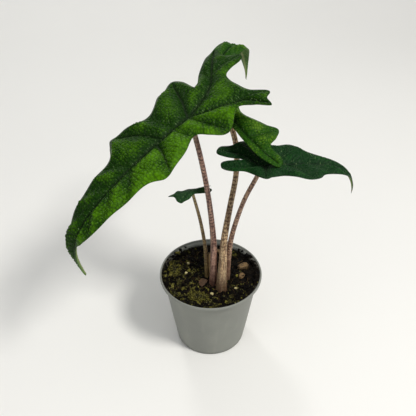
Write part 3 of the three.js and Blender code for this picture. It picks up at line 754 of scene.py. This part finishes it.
def earth_material(name, dark, light, bright):
    """Crumbly matter: each crumb has a tone of its own from dark to light, and a fine grain."""
    paint = Paint(name)
    place = paint.place()
    grain = paint.cloud(place, 0.0007, 4.0)
    clumps = paint.cloud(place, 0.004, 3.0)
    tone = paint.maths("ADD", paint.stored("tone"), paint.ramp(clumps, 0.4, 0.7, -0.12, 0.16))
    matter = paint.mix(tone, colour(dark), colour(light))
    matter = paint.layer(matter, colour(bright), grain, 0.58, 0.74, 0.5)
    paint.bump(grain, 0.25)
    return paint.finish(matter, paint.ramp(grain, 0.3, 0.7, 0.75, 1.0), Specular_IOR_Level=0.12)


def fibrous_material(name, dark, light, size, stretch):
    """Dry woody tissue with a grain `stretch` times longer than its width, `size` millimetres."""
    paint = Paint(name)
    flow = paint.stored("flow", "Vector")
    fibres = paint.cloud(paint.scaled(flow, (1.0, 1.0, 1 / stretch)), size, 5.0, 0.5)
    patches = paint.cloud(flow, size * 4, 3.0)
    tissue = paint.layer(colour(dark), colour(light), fibres, 0.32, 0.68)
    tissue = paint.layer(tissue, colour(dark), patches, 0.45, 0.75, 0.55)
    paint.bump(fibres, 0.3)
    return paint.finish(tissue, paint.ramp(fibres, 0.3, 0.7, 0.6, 0.9), Specular_IOR_Level=0.35)


# ------------------------------------------------------------------ leaves
class LeafSurface:
    """The bent middle surface of a leaf: flat (p, q) to space, the same surface as the CAD blade's."""

    def __init__(self, leaf):
        self.stations = np.array(leaf["stations"], dtype=float)
        self.ripple = leaf["ripple"]
        self.ripple_length = leaf["ripple_length"]
        self.marks = np.arange(self.stations[0, 0], self.stations[-1, 0] + 1)
        steps = self.forward(self.marks[:-1] + 0.5)
        axis = np.vstack([np.zeros(3), np.cumsum(steps, axis=0)])
        self.axis = axis - axis[self.marks == 0] + np.array(leaf["joint"])

    def angle(self, p, column):
        return np.radians(np.interp(p, self.stations[:, 0], self.stations[:, column]))

    def forward(self, p):
        heading = self.angle(p, 1)
        pitch = self.angle(p, 2)
        level = np.cos(pitch)
        return np.stack([level * np.cos(heading), level * np.sin(heading), np.sin(pitch)], axis=-1)

    def normal(self, p):
        heading = self.angle(p, 1)
        right = np.stack([np.sin(heading), -np.cos(heading), np.zeros_like(heading)], axis=-1)
        return right, np.cross(right, self.forward(p))

    def at(self, flat, lift):
        """The points at flat (p, q), lifted off the middle surface by lift."""
        p, q = flat[:, 0], flat[:, 1]
        right, normal = self.normal(p)
        away = np.abs(q)
        middle = self.angle(p, 3) + self.angle(p, 4) / 10 * away / 2
        wave = self.ripple * (away / 20) ** 2 * np.sin(2 * np.pi * p / self.ripple_length + np.sign(q))
        within = np.clip(p, self.marks[0], self.marks[-1])
        axis = np.stack([np.interp(within, self.marks, column) for column in self.axis.T], axis=1)
        axis += (p - within)[:, None] * self.forward(p)
        across = (q * np.cos(middle))[:, None]
        height = (away * np.sin(middle) + wave + lift)[:, None]
        return axis + right * across + normal * height


def vein_relief(flat, veins, spacing):
    """For each flat point: its depth in a main vein (0 to 1), its distance from that vein, and how
    near it is to one of the parallel side veins (0 to 1) that leave the main veins at a slant."""
    samples = []
    for half_width, path in veins:
        line = smooth_path(path, 0.25)
        along = path_lengths(line)
        heading = np.gradient(line, axis=0)
        widths = VALLEY * half_width * (1 - 0.6 * along / along[-1])
        strength = np.full(len(line), min(1.0, half_width / WIDEST_VEIN))
        samples.append(np.column_stack([line, heading, along, widths, strength]))
    samples = np.vstack(samples)
    tree = kd_tree(samples[:, :2])
    nearest = [tree.find((p, q, 0)) for p, q in flat]
    distance = np.array([found[2] for found in nearest])
    near = samples[[found[1] for found in nearest]]
    offset = flat - near[:, :2]
    side = np.sign(near[:, 2] * offset[:, 1] - near[:, 3] * offset[:, 0])
    wander = fractal(with_zero(flat), 5.0, 2)
    phase = (near[:, 4] - VEIN_SLANT * distance) / spacing + 0.25 * side + 0.22 * wander
    from_rib = np.abs(phase - np.round(phase)) * spacing / math.hypot(1, VEIN_SLANT)
    rib = np.exp(-(from_rib / SIDE_VEIN_WIDTH) ** 2) * smoothstep(distance, 0.3, 1.2)
    depth = near[:, 6] * np.exp(-(distance / near[:, 5]) ** 2)
    return depth, distance, rib


def quilting(flat, size, rng):
    """0 in the creases between the small raised cells of a blade, up to 1 on top of each cell."""
    low = flat.min(axis=0) - size
    high = flat.max(axis=0) + size
    columns, rows = np.meshgrid(np.arange(low[0], high[0], size), np.arange(low[1], high[1], size))
    seeds = np.column_stack([columns.ravel(), rows.ravel()])
    seeds += rng.uniform(-0.42, 0.42, seeds.shape) * size
    tree = kd_tree(seeds)
    spread = []
    for p, q in flat:
        nearest = tree.find_n((p, q, 0), 2)
        spread.append(nearest[1][2] - nearest[0][2])
    return smoothstep(np.array(spread) / size, 0.0, 0.62)


def make_leaf(name, leaf, material, rng):
    """A quilted blade with sunken veins on top and raised ones below, thin at its margin."""
    surface = LeafSurface(leaf)
    outline = smooth_path(leaf["outline"], 0.8 * leaf["step"], closed=True)
    flat, triangles = fill_flat([outline], leaf["step"], rng)
    rim = len(outline)
    tree = kd_tree(outline)
    margin = np.array([tree.find((p, q, 0))[2] for p, q in flat])
    margin[:rim] = 0
    vein, distance, rib = vein_relief(flat, leaf["veins"], leaf["side_spacing"])
    puff = quilting(flat, leaf["cell"], rng)
    size = leaf["relief"]
    firm = smoothstep(margin, 0.0, 3.0 * size)
    pillow = PILLOW * (1 - np.exp(-(distance / (PILLOW_REACH * size)) ** 2)) * firm
    puffs = PUFF * puff * (1 - vein) * firm ** 2
    relief = size * (pillow - RIB_DEPTH * rib * firm - VEIN_DEPTH * vein + puffs)
    half = BLADE_THICKNESS / 2 * (MARGIN_SHARE + (1 - MARGIN_SHARE) * smoothstep(margin, 0.0, 1.0))
    top = surface.at(flat, relief + half)
    ridges = size * (VEIN_RIDGE * vein + RIB_RIDGE * rib) * firm
    below = surface.at(flat, UNDER_RELIEF * relief - half - ridges)
    count = len(flat)
    faces = sheet_faces(outline, triangles, count)
    # Painted light: the near half of the blade is painted lighter.
    near = smoothstep(-flat[:, 1], -3.0, 5.0) * smoothstep(flat[:, 0], -26.0, -8.0)
    tone = leaf["tone"] + leaf["near_half_light"] * near
    tone += leaf["tip_tone"] * smoothstep(flat[:, 0], 0.72 * flat[:, 0].max(), flat[:, 0].max())
    both = {
        "vein": vein, "rib": rib, "puff": puff, "margin": margin, "tone": tone,
        # where shade is painted in the valleys round the veins
        "valley": np.exp(-(distance / (VALLEY_REACH * size)) ** 2),
        "flat": with_zero(flat),
    }
    attributes = {key: np.concatenate([values, values]) for key, values in both.items()}
    attributes["under"] = np.concatenate([np.zeros(count), margin > 0])
    piece = make_mesh(name + "_blade", np.vstack([top, below]), faces, attributes)
    for face in piece.data.polygons[-rim:]:
        face.use_smooth = False
    show(piece, material, name)


# ------------------------------------------------------------------ stalks
def make_stalk(name, stalk, material):
    """A fleshy stalk: an open sheath with two wings at its foot, fine ridges, and a thickened joint."""
    leaf = LEAVES[stalk["leaf"]]
    surface = LeafSurface(leaf)
    start = np.array([0.0])
    _, normal = surface.normal(start)
    normal = normal[0]
    joint = np.array(leaf["joint"])
    path = smooth_path(stalk["path"], STALK_STEP, spacing_power=0.5)
    lengths = path_lengths(path)
    climb = lengths / lengths[-1]
    above = (path - joint) @ normal
    last = int(np.argmax(above > JOINT_OVERRUN)) or len(path)
    foot, top = stalk["radii"]
    radii = top + (foot - top) * (1 - climb) ** stalk["flare"]
    radii = (radii * (1 + 0.12 * smoothstep(climb, 0.9, 1.0)))[:last]
    points, faces, angles, along = swept(path[:last], radii, STALK_SIDES)
    centres = np.repeat(path[:last], STALK_SIDES, axis=0)
    outward = points - centres
    azimuth = np.arctan2(outward[:, 1], outward[:, 0])
    height, direction = stalk["sheath"]
    reach = 1 - smoothstep(along, 0.35 * height, 1.15 * height)
    turn = azimuth - math.radians(direction)
    turn = (turn + np.pi) % (2 * np.pi) - np.pi
    wings = sum(np.exp(-((turn - edge) / WING_WIDTH) ** 2) for edge in (-WING_ANGLE, WING_ANGLE))
    channel = np.exp(-(turn / CHANNEL_WIDTH) ** 2)
    ridges = 0.02 * np.sin(7 * angles + 0.05 * along) + 0.02 * fractal(points, 2.5, 2)
    shape = 1 + reach * (SHEATH_WING * wings - SHEATH_CHANNEL * channel) + ridges
    points = centres + outward * shape[:, None]
    over = np.maximum((points - joint) @ normal + JOINT_SINK, 0)
    points -= over[:, None] * normal
    flow = np.column_stack([np.cos(angles) * foot, np.sin(angles) * foot, along])
    attributes = {"flow": flow, "climb": np.repeat(climb[:last], STALK_SIDES), "wing": reach * wings}
    piece = make_mesh(name + "_stalk", points, faces, attributes)
    show(piece, material, name)


# ------------------------------------------------------------------ pot
def wall_radius(z):
    """Radius of the pot's outer wall at height z."""
    return FOOT_RADIUS + (BODY_TOP_RADIUS - FOOT_RADIUS) * z / BODY_HEIGHT


def circle(radius, count, centre=(0.0, 0.0)):
    """Evenly spaced flat points round a circle."""
    angles = 2 * np.pi * np.arange(count) / count
    return ring_points(radius, angles) + centre


def make_pot(material, rng):
    """Thin tapered pot with a shelf inside its lip, a flat floor and a ring of drain holes."""
    inner_top = BODY_TOP_RADIUS - POT_WALL
    inner_foot = wall_radius(POT_FLOOR) - POT_WALL
    lip_inside = RIM_RADIUS - LIP_EDGE
    shelf = BODY_HEIGHT + LIP_SHELF
    lip = smooth_path([
        (BODY_TOP_RADIUS, BODY_HEIGHT), (BODY_TOP_RADIUS + 0.9, BODY_HEIGHT + 0.02),
        (RIM_RADIUS - 0.3, BODY_HEIGHT + 0.1), (RIM_RADIUS, BODY_HEIGHT + 0.4),
        (RIM_RADIUS, POT_HEIGHT - 0.5), (RIM_RADIUS - 0.2, POT_HEIGHT - 0.1),
        (RIM_RADIUS - 0.45, POT_HEIGHT), (lip_inside, POT_HEIGHT - 0.3),
        (lip_inside - 0.3, shelf + 0.25), (lip_inside - 0.8, shelf), (inner_top + 0.6, shelf - 0.1),
        (inner_top, shelf - 0.7),
    ], 0.12)
    foot_edge = [(FOOT_RADIUS - FOOT_EDGE, 0), (FOOT_RADIUS - 0.25, 0.18), (wall_radius(0.8), 0.8)]
    foot = smooth_path(foot_edge, 0.15)
    outer = smooth_path([foot[-1], lip[0]], 0.8)[1:-1]
    inner = smooth_path([lip[-1], (inner_foot, POT_FLOOR)], 1.2)[1:]
    profile = np.vstack([foot, outer, lip, inner])
    points, faces = lathe(profile, POT_SIDES)
    angles = np.arctan2(points[:, 1], points[:, 0])
    up = points[:, 2] / POT_HEIGHT
    warp = up * (0.12 * np.sin(2 * angles + 0.7) + 0.06 * np.sin(3 * angles + 2))
    warp += 0.03 * np.sin(5 * angles + 9 * up)
    radius = np.hypot(points[:, 0], points[:, 1])
    points[:, :2] *= (1 + warp / radius)[:, None]
    within = radius < wall_radius(points[:, 2]) - 0.5 * POT_WALL
    behind = smoothstep(points[:, 1], 8, 20)
    dirt = 0.4 * smoothstep(points[:, 2], 3, 0)
    dirt[within] = smoothstep(points[within, 2], POT_HEIGHT - 0.5, SOIL_LEVEL)
    on_shelf = (points[:, 2] > BODY_HEIGHT) & (radius < lip_inside) & (points[:, 2] < POT_HEIGHT - 0.4)
    dirt = np.where(on_shelf, 2 - 1.8 * behind, dirt)
    holes = []
    for hole in range(DRAIN_HOLES):
        angle = 2 * np.pi * (hole + 0.5) / DRAIN_HOLES
        centre = (DRAIN_CIRCLE * math.cos(angle), DRAIN_CIRCLE * math.sin(angle))
        holes.append(circle(DRAIN_HOLE_RADIUS, HOLE_SIDES, centre))
    parts = [(points, faces, {"dirt": dirt})]
    for height, radius, downward in ((0.0, FOOT_RADIUS - FOOT_EDGE, True), (POT_FLOOR, inner_foot, False)):
        flat, triangles = fill_flat([circle(radius, POT_SIDES), *holes], 1.5, rng)
        plate = np.column_stack([flat, np.full(len(flat), height)])
        order = (0, 2, 1) if downward else (0, 1, 2)
        parts.append((plate, [tuple(row) for row in triangles[:, order]], {"dirt": np.full(len(flat), 0.3)}))
    hole_faces = [face[::-1] for face in grid_faces(2, HOLE_SIDES, True)]
    for hole in holes:
        ends = [np.column_stack([hole, np.full(HOLE_SIDES, height)]) for height in (0.0, POT_FLOOR)]
        parts.append((np.vstack(ends), hole_faces, {"dirt": np.full(2 * HOLE_SIDES, 0.6)}))
    piece = make_mesh("nursery_pot", *join_parts(parts))
    merge_points(piece)
    show(piece, material, "pot")


# ------------------------------------------------------------------ soil and what lies on it
def soil_height(x, y):
    """The same gentle surface as the CAD soil's."""
    share = np.hypot(x, y) / BODY_TOP_RADIUS
    bumps = np.sin(0.55 * x + 1.3) * np.cos(0.48 * y) + 0.6 * np.sin(0.9 * x - 0.7 * y)
    return SOIL_LEVEL + SOIL_DOME * (1 - share**2) - SOIL_FRONT_RISE * y / BODY_TOP_RADIUS + SOIL_BUMP * bumps


def ground_height(x, y):
    """The soil, or the shelf inside the lip where a place lies beyond the soil."""
    shelf = BODY_HEIGHT + LIP_SHELF
    return shelf if math.hypot(x, y) > BODY_TOP_RADIUS - POT_WALL - 0.4 else soil_height(x, y)


def scatter(rng, count, reach):
    """Random [x, y] places in a disc; the pot's inner wall stays bare at the back."""
    angle = rng.uniform(0, 2 * np.pi, count)
    radius = reach * np.sqrt(rng.uniform(0, 1, count))
    places = ring_points(radius, angle)
    bare = (places[:, 1] > 6) & (radius > BODY_TOP_RADIUS - POT_WALL - 0.8)
    return places[~bare]


def scatter_on_shelf(rng, count, reach):
    """Random places on the shelf inside the lip, thinning out towards the back of the pot."""
    angle = rng.uniform(0, 2 * np.pi, count)
    angle = angle[rng.uniform(-0.2, 0.9, count) > np.sin(angle)]
    radius = rng.uniform(BODY_TOP_RADIUS - POT_WALL - 1.2, reach, len(angle))
    return ring_points(radius, angle)


def around_foot(stalk, count, rng):
    """Random places in a ring round the foot of a stalk, where it enters the soil."""
    path = smooth_path(stalk["path"], STALK_STEP, spacing_power=0.5)
    centre = path[np.argmin(np.abs(path[:, 2] - SOIL_LEVEL - SOIL_DOME))]
    angle = rng.uniform(0, 2 * np.pi, count)
    reach = 0.9 * stalk["radii"][0] + rng.exponential(0.9, count)
    return ring_points(reach, angle) + centre[:2]


def on_soil(at, lift):
    """The point above [x, y] that is higher than the soil by lift."""
    return np.array([*at, soil_height(*at) + lift])


def toned(points, tone):
    """One tone for all the points."""
    return {"tone": np.full(len(points), tone)}


def make_soil(material):
    """The ball of soil: a rough top, and sides and a bottom just inside the pot."""
    top_radius = wall_radius(SOIL_LEVEL) - POT_WALL - 0.1
    shares = np.linspace(0.004, 1, SOIL_RINGS)
    disc, _ = lathe(np.column_stack([shares * top_radius, np.zeros(SOIL_RINGS)]), SOIL_SIDES)
    disc[:, 2] = soil_height(disc[:, 0], disc[:, 1]) + 0.75 * fractal(disc, 3.2, 4)
    low = np.linspace(SOIL_LEVEL - 2, POT_FLOOR + 0.3, SOIL_ROWS)
    wall, _ = lathe(np.column_stack([wall_radius(low) - POT_WALL - 0.3, low]), SOIL_SIDES)
    points = np.vstack([disc, wall])
    faces = [face[::-1] for face in tube_faces(SOIL_RINGS + SOIL_ROWS, SOIL_SIDES)]
    tone = 0.1 + 0.25 * np.maximum(fractal(points, 2.0, 3), 0)
    piece = make_mesh("soil_ball", points, faces, {"tone": tone})
    show(piece, material, "soil")


def make_crumbs(name, material, places, flatness, rng):
    """Loose crumbs, from dust to small clods, sunk a little into the soil at the given places."""
    parts = []
    for x, y in places:
        room = RIM_RADIUS - LIP_EDGE - math.hypot(x, y)
        size = min(LEAST_CRUMB + 0.95 * rng.uniform() ** 3.2, LEAST_CRUMB + 0.4 * max(room, 0))
        shape = size * rng.uniform(0.5, 1.25, 3) * (1, 1, flatness)
        middle = np.array([x, y, ground_height(x, y) + 0.3 * size])
        points, faces = lump(rng, middle, shape, 0.9, 1 if size < 0.7 else 2)
        tone = rng.choice(CRUMB_TONES, p=CRUMB_TONE_SHARES)
        parts.append((points, faces, toned(points, tone)))
    piece = make_mesh(name, *join_parts(parts), smooth=False)
    show(piece, material)


def strand(rng, root, heading, length, radius, rise, sides=4):
    """A thin curved fibre from `root`, lying along `heading` and rising by `rise` of its length."""
    t = np.linspace(0, 1, 6)
    bend = rng.uniform(-0.9, 0.9)
    turn = heading + bend * t
    x = root[0] + length * t * np.cos(turn)
    y = root[1] + length * t * np.sin(turn)
    z = root[2] + length * rise * np.sin(np.pi * rng.uniform(0.35, 0.9) * t)
    points, faces, _, _ = swept(np.column_stack([x, y, z]), radius * (1 - 0.6 * t), sides)
    return points, faces


def make_fibres(material, rng):
    """Root hairs and bits of peat fibre lying about on the soil."""
    parts = []
    for x, y in scatter(rng, FIBRES, BODY_TOP_RADIUS - 5):
        root = on_soil((x, y), 0.25)
        length = rng.uniform(1.5, 5.0)
        points, faces = strand(rng, root, rng.uniform(0, 2 * np.pi), length, rng.uniform(0.06, 0.14), 0.16)
        parts.append((points, faces, toned(points, rng.uniform(0.1, 0.9))))
    piece = make_mesh("soil_fibres", *join_parts(parts))
    show(piece, material)


def make_moss(name, spec, material, rng):
    """A low cushion of moss: a knobbly pad covered with short curling shoots."""
    size = np.array(spec["size"], dtype=float)
    middle = on_soil(spec["at"], 0.2 * size[2])
    pad, faces = BALLS[3]
    turned = rotation((0, 0, 1), math.radians(spec["turn"]))
    knobs = 1 + 0.35 * fractal(pad * 3 + middle, 1.2, 3)
    body = (pad * knobs[:, None] * size * (0.7, 0.7, 0.5)) @ turned.T + middle
    parts = [(body, faces, toned(body, 0.02))]
    for _ in range(MOSS_SHOOTS):
        angle = rng.uniform(0, 2 * np.pi)
        tilt = np.arccos(rng.uniform(0.05, 1))
        level = math.sin(tilt)
        direction = np.array([level * math.cos(angle), level * math.sin(angle), math.cos(tilt)])
        root = (direction * size * rng.uniform(0.6, 1.1) * (1, 1, 0.6)) @ turned.T + middle
        heading = angle + math.radians(spec["turn"]) + rng.uniform(-0.9, 0.9)
        length = rng.uniform(0.5, 1.6)
        points, shoot = strand(rng, root, heading, length, rng.uniform(0.1, 0.24), rng.uniform(0.1, 0.5))
        parts.append((points, shoot, toned(points, rng.uniform(0.0, 1.0))))
    piece = make_mesh(name + "_tuft", *join_parts(parts))
    show(piece, material, name)


def make_perlite(name, spec, material, rng):
    """A puffed, pitted white grain."""
    middle = on_soil(spec["at"], 0.45 * spec["size"][2])
    ball_points, faces = BALLS[3]
    shift = rng.uniform(-20, 20, 3)
    pits = fractal(ball_points + shift, 0.3, 1) > 0.25
    knobs = 1 + 0.28 * fractal(ball_points + shift, 0.9, 3) - 0.12 * pits
    points = ball_points * knobs[:, None] * PERLITE_SHARE * np.array(spec["size"]) + middle
    piece = make_mesh(name + "_grain", points, faces, toned(points, 0.6))
    show(piece, material, name)


def make_bark(name, spec, material, rng):
    """A splinter of bark: a flat plank with ragged ends and a layered, fibrous grain."""
    length, width, thickness = spec["size"]
    directions, faces = BALLS[3]
    boxy = np.sign(directions) * np.abs(directions) ** 0.3
    flow = boxy * (length / 2, width / 2, thickness / 2)
    ends = smoothstep(np.abs(boxy[:, 0]), 0.55, 1.0)
    ragged = fractal(flow * (0.2, 3.0, 3.0) + rng.uniform(-20, 20, 3), 1.0, 2)
    flow[:, 0] += 0.9 * ends * ragged
    flow[:, 1] *= 1 - 0.35 * ends + 0.12 * np.sin(flow[:, 0] * 1.3 + rng.uniform(0, 6))
    grain = fractal(flow * (0.15, 1.0, 1.0) + rng.uniform(-20, 20, 3), 0.5, 2)
    points = flow + np.column_stack([0 * grain, 0.12 * grain, 0.2 * grain])
    tilted = rotation((1, 0, 0), math.radians(spec["tilt"]))
    turned = rotation((0, 0, 1), math.radians(spec["turn"]))
    place = on_soil(spec["at"], 0.62 * thickness)
    piece = make_mesh(name + "_chip", points @ tilted.T @ turned.T + place, faces, {"flow": flow[:, ::-1]})
    show(piece, material, name)


def make_crown(material):
    """The top of the short underground stem, ringed with the scars of old leaf bases."""
    directions, faces = BALLS[3]
    size = np.array([CROWN["radius"], CROWN["radius"], CROWN["half_height"] + 0.8])
    rings = 0.25 * np.sin(directions[:, 2] * 26)
    lumps = 0.7 * fractal(directions * 8, 2.5, 3)
    points = directions * (size + (rings + lumps)[:, None]) + np.array(CROWN["centre"])
    flow = np.column_stack([directions[:, :2] * 6, directions[:, 2] * 30])
    piece = make_mesh("crown_top", points, faces, {"flow": flow})
    show(piece, material, "crown")


def make_stub(material):
    """The dried stump of an earlier stalk: fluted, shrunken in the middle and torn at its top."""
    path = smooth_path(STUB, 0.4, spacing_power=0.5)
    climb = np.linspace(0, 1, len(path))
    radii = STUB_RADII[0] + (STUB_RADII[1] - STUB_RADII[0]) * climb - 0.14 * np.sin(np.pi * climb)
    points, faces, angles, along = swept(path, radii, STALK_SIDES)
    centres = np.repeat(path, STALK_SIDES, axis=0)
    climbs = np.repeat(climb, STALK_SIDES)
    flutes = 1 + 0.12 * np.sin(5 * angles + 2 * climbs) + 0.06 * np.sin(11 * angles)
    points = centres + (points - centres) * flutes[:, None]
    points[:, 2] += 1.1 * smoothstep(climbs, 0.9, 1.0) * np.sin(3 * angles + 1)
    flow = np.column_stack([np.cos(angles), np.sin(angles), along])
    piece = make_mesh("dry_stub_stem", points, faces, {"flow": flow})
    show(piece, material, "dry_stub")


def make_scale(material, rng):
    """The papery scale left by a bud: a thin curled sheet with parallel ribs."""
    surface = LeafSurface(SCALE)
    outline = smooth_path(SCALE["outline"], 0.2, closed=True)
    tears = fractal(with_zero(outline), 0.9, 2)
    outline *= (0.95 + 0.18 * tears)[:, None]
    flat, triangles = fill_flat([outline], 0.25, rng)
    ribs = 0.05 * np.sin(9 * flat[:, 1]) + 0.12 * fractal(with_zero(flat), 1.6, 2)
    points = np.vstack([surface.at(flat, ribs + SCALE_HALF), surface.at(flat, ribs - SCALE_HALF)])
    faces = sheet_faces(outline, triangles, len(flat))
    flow = np.column_stack([flat[:, 1], flat[:, 1], flat[:, 0]])
    piece = make_mesh("dry_scale_sheet", points, faces, {"flow": np.vstack([flow, flow])})
    show(piece, material, "dry_scale")


def show(piece, material, node=None):
    """Gives a piece its material, ties it to the part's one body, and hides the CAD node it stands for."""
    piece.data.materials.append(material)
    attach(piece, "root")
    if node:
        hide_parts(node)


# ------------------------------------------------------------------ the plant
rng = np.random.default_rng(7)

make_pot(pot_material(), rng)
earth = earth_material("soil_matter", "#040302", "#1c150c", "#352a18")
make_soil(earth)
ledge = RIM_RADIUS - LIP_EDGE - 0.5
feet = np.vstack([around_foot(stalk, 60, rng) for stalk in STALKS.values()])
crumbs = np.vstack([scatter(rng, CRUMBS, ledge), scatter_on_shelf(rng, SHELF_CRUMBS, ledge), feet])
make_crumbs("soil_crumbs", earth, crumbs, 1.0, rng)
make_fibres(earth_material("soil_fibre", "#1d150b", "#6b5433", "#8a7048"), rng)
moss = earth_material("moss", "#1a1908", "#7d7732", "#d8d190")
by_feet = feet[::3] + rng.uniform(-0.8, 0.8, feet[::3].shape)
flecks = np.vstack([scatter(rng, 3 * FLECKS, ledge), scatter_on_shelf(rng, FLECKS, ledge), by_feet])
mossiness = 0.3 - 0.014 * flecks[:, 0] - 0.014 * flecks[:, 1]
flecks = flecks[rng.uniform(0, 1, len(flecks)) < mossiness]
make_crumbs("moss_flecks", moss, flecks, 0.6, rng)
for name, spec in MOSS.items():
    make_moss(name, spec, moss, rng)
perlite = earth_material("perlite", "#8f8152", "#d9cd98", "#f7f1d2")
for name, spec in PERLITE.items():
    make_perlite(name, spec, perlite, rng)
bark = fibrous_material("bark", "#20150b", "#8a6d45", 0.35, 7)
for name, spec in BARK.items():
    make_bark(name, spec, bark, rng)
make_crown(fibrous_material("crown_skin", "#26150e", "#7a4f36", 0.8, 0.4))
dry_tissue = fibrous_material("dry_tissue", "#6d4f2f", "#c8ab7c", 0.3, 8)
make_stub(dry_tissue)
make_scale(fibrous_material("bud_scale", "#22140a", "#5e432a", 0.3, 8), rng)
for name, stalk in STALKS.items():
    make_stalk(name, stalk, stalk_material(name + "_skin", stalk["colours"]))
for name, leaf in LEAVES.items():
    make_leaf(name, leaf, leaf_material(name + "_skin", leaf["colours"]), rng)

# ------------------------------------------------------------------ studio and camera (metres)
STAGE_HALF = 3.2
SWEEP_START = 0.5
SWEEP_RADIUS = 0.5
SWEEP_STEPS = 12
WALL_HEIGHT = 1.6
PLANT_MIDDLE = (0.0, 0.0, 0.1)
CAMERA_FIELD = 40.0        # degrees across the picture
CAMERA_TILT = 52.93        # degrees up from straight down
CAMERA_PLACE = (-0.00157, -0.2470, 0.2836)


def make_stage():
    """A pale floor that sweeps up into a wall behind the plant."""
    rows = [(-STAGE_HALF, 0.0), (SWEEP_START, 0.0)]
    for step in range(1, SWEEP_STEPS + 1):
        angle = math.pi / 2 * step / SWEEP_STEPS
        rows.append((SWEEP_START + SWEEP_RADIUS * math.sin(angle), SWEEP_RADIUS * (1 - math.cos(angle))))
    rows.append((SWEEP_START + SWEEP_RADIUS, WALL_HEIGHT))
    points = np.array([(x, y, z) for y, z in rows for x in (-STAGE_HALF, STAGE_HALF)]) / MM
    piece = make_mesh("studio_sweep", points, grid_faces(len(rows), 2, False))
    paint = Paint("studio_paper")
    tint = paint.cloud(paint.place(), 0.3)
    piece.data.materials.append(paint.finish(paint.mix(tint, colour("#e9e8e4"), colour("#efeeea")), 0.9))


def add_light(name, place, target, size, watts, tint):
    """A round lamp `size` across that shines from place to target."""
    lamp = bpy.data.lights.new(name, "AREA")
    lamp.shape = "DISK"
    lamp.size = size
    lamp.energy = watts
    lamp.color = tint
    lamp_object = bpy.data.objects.new(name, lamp)
    lamp_object.location = place
    lamp_object.rotation_euler = (Vector(target) - Vector(place)).to_track_quat("-Z", "Y").to_euler()
    bpy.context.scene.collection.objects.link(lamp_object)


make_stage()
add_light("key", (0.45, -0.35, 0.85), PLANT_MIDDLE, 0.22, 6.6, (1.0, 0.98, 0.95))
add_light("overhead", (0.1, -0.4, 1.3), PLANT_MIDDLE, 1.0, 2.3, (1.0, 1.0, 1.0))
add_light("fill", (-0.7, -0.7, 0.6), PLANT_MIDDLE, 0.9, 1.2, (0.96, 0.98, 1.0))
add_light("sparkle", (-0.3, 0.75, 0.7), PLANT_MIDDLE, 0.22, 1.7, (1.0, 1.0, 1.0))

world = bpy.data.worlds.new("studio")
world.use_nodes = True
world.node_tree.nodes["Background"].inputs["Color"].default_value = (0.95, 0.97, 1.0, 1.0)
world.node_tree.nodes["Background"].inputs["Strength"].default_value = 0.34
bpy.context.scene.world = world
bpy.context.scene.view_settings.view_transform = "Standard"

camera = bpy.data.cameras.new("camera")
camera.sensor_width = 36.0
camera.lens = camera.sensor_width / 2 / math.tan(math.radians(CAMERA_FIELD / 2))
camera_object = bpy.data.objects.new("camera", camera)
camera_object.location = CAMERA_PLACE
camera_object.rotation_euler = (math.radians(CAMERA_TILT), 0.0, 0.0)
bpy.context.scene.collection.objects.link(camera_object)
bpy.context.scene.camera = camera_object
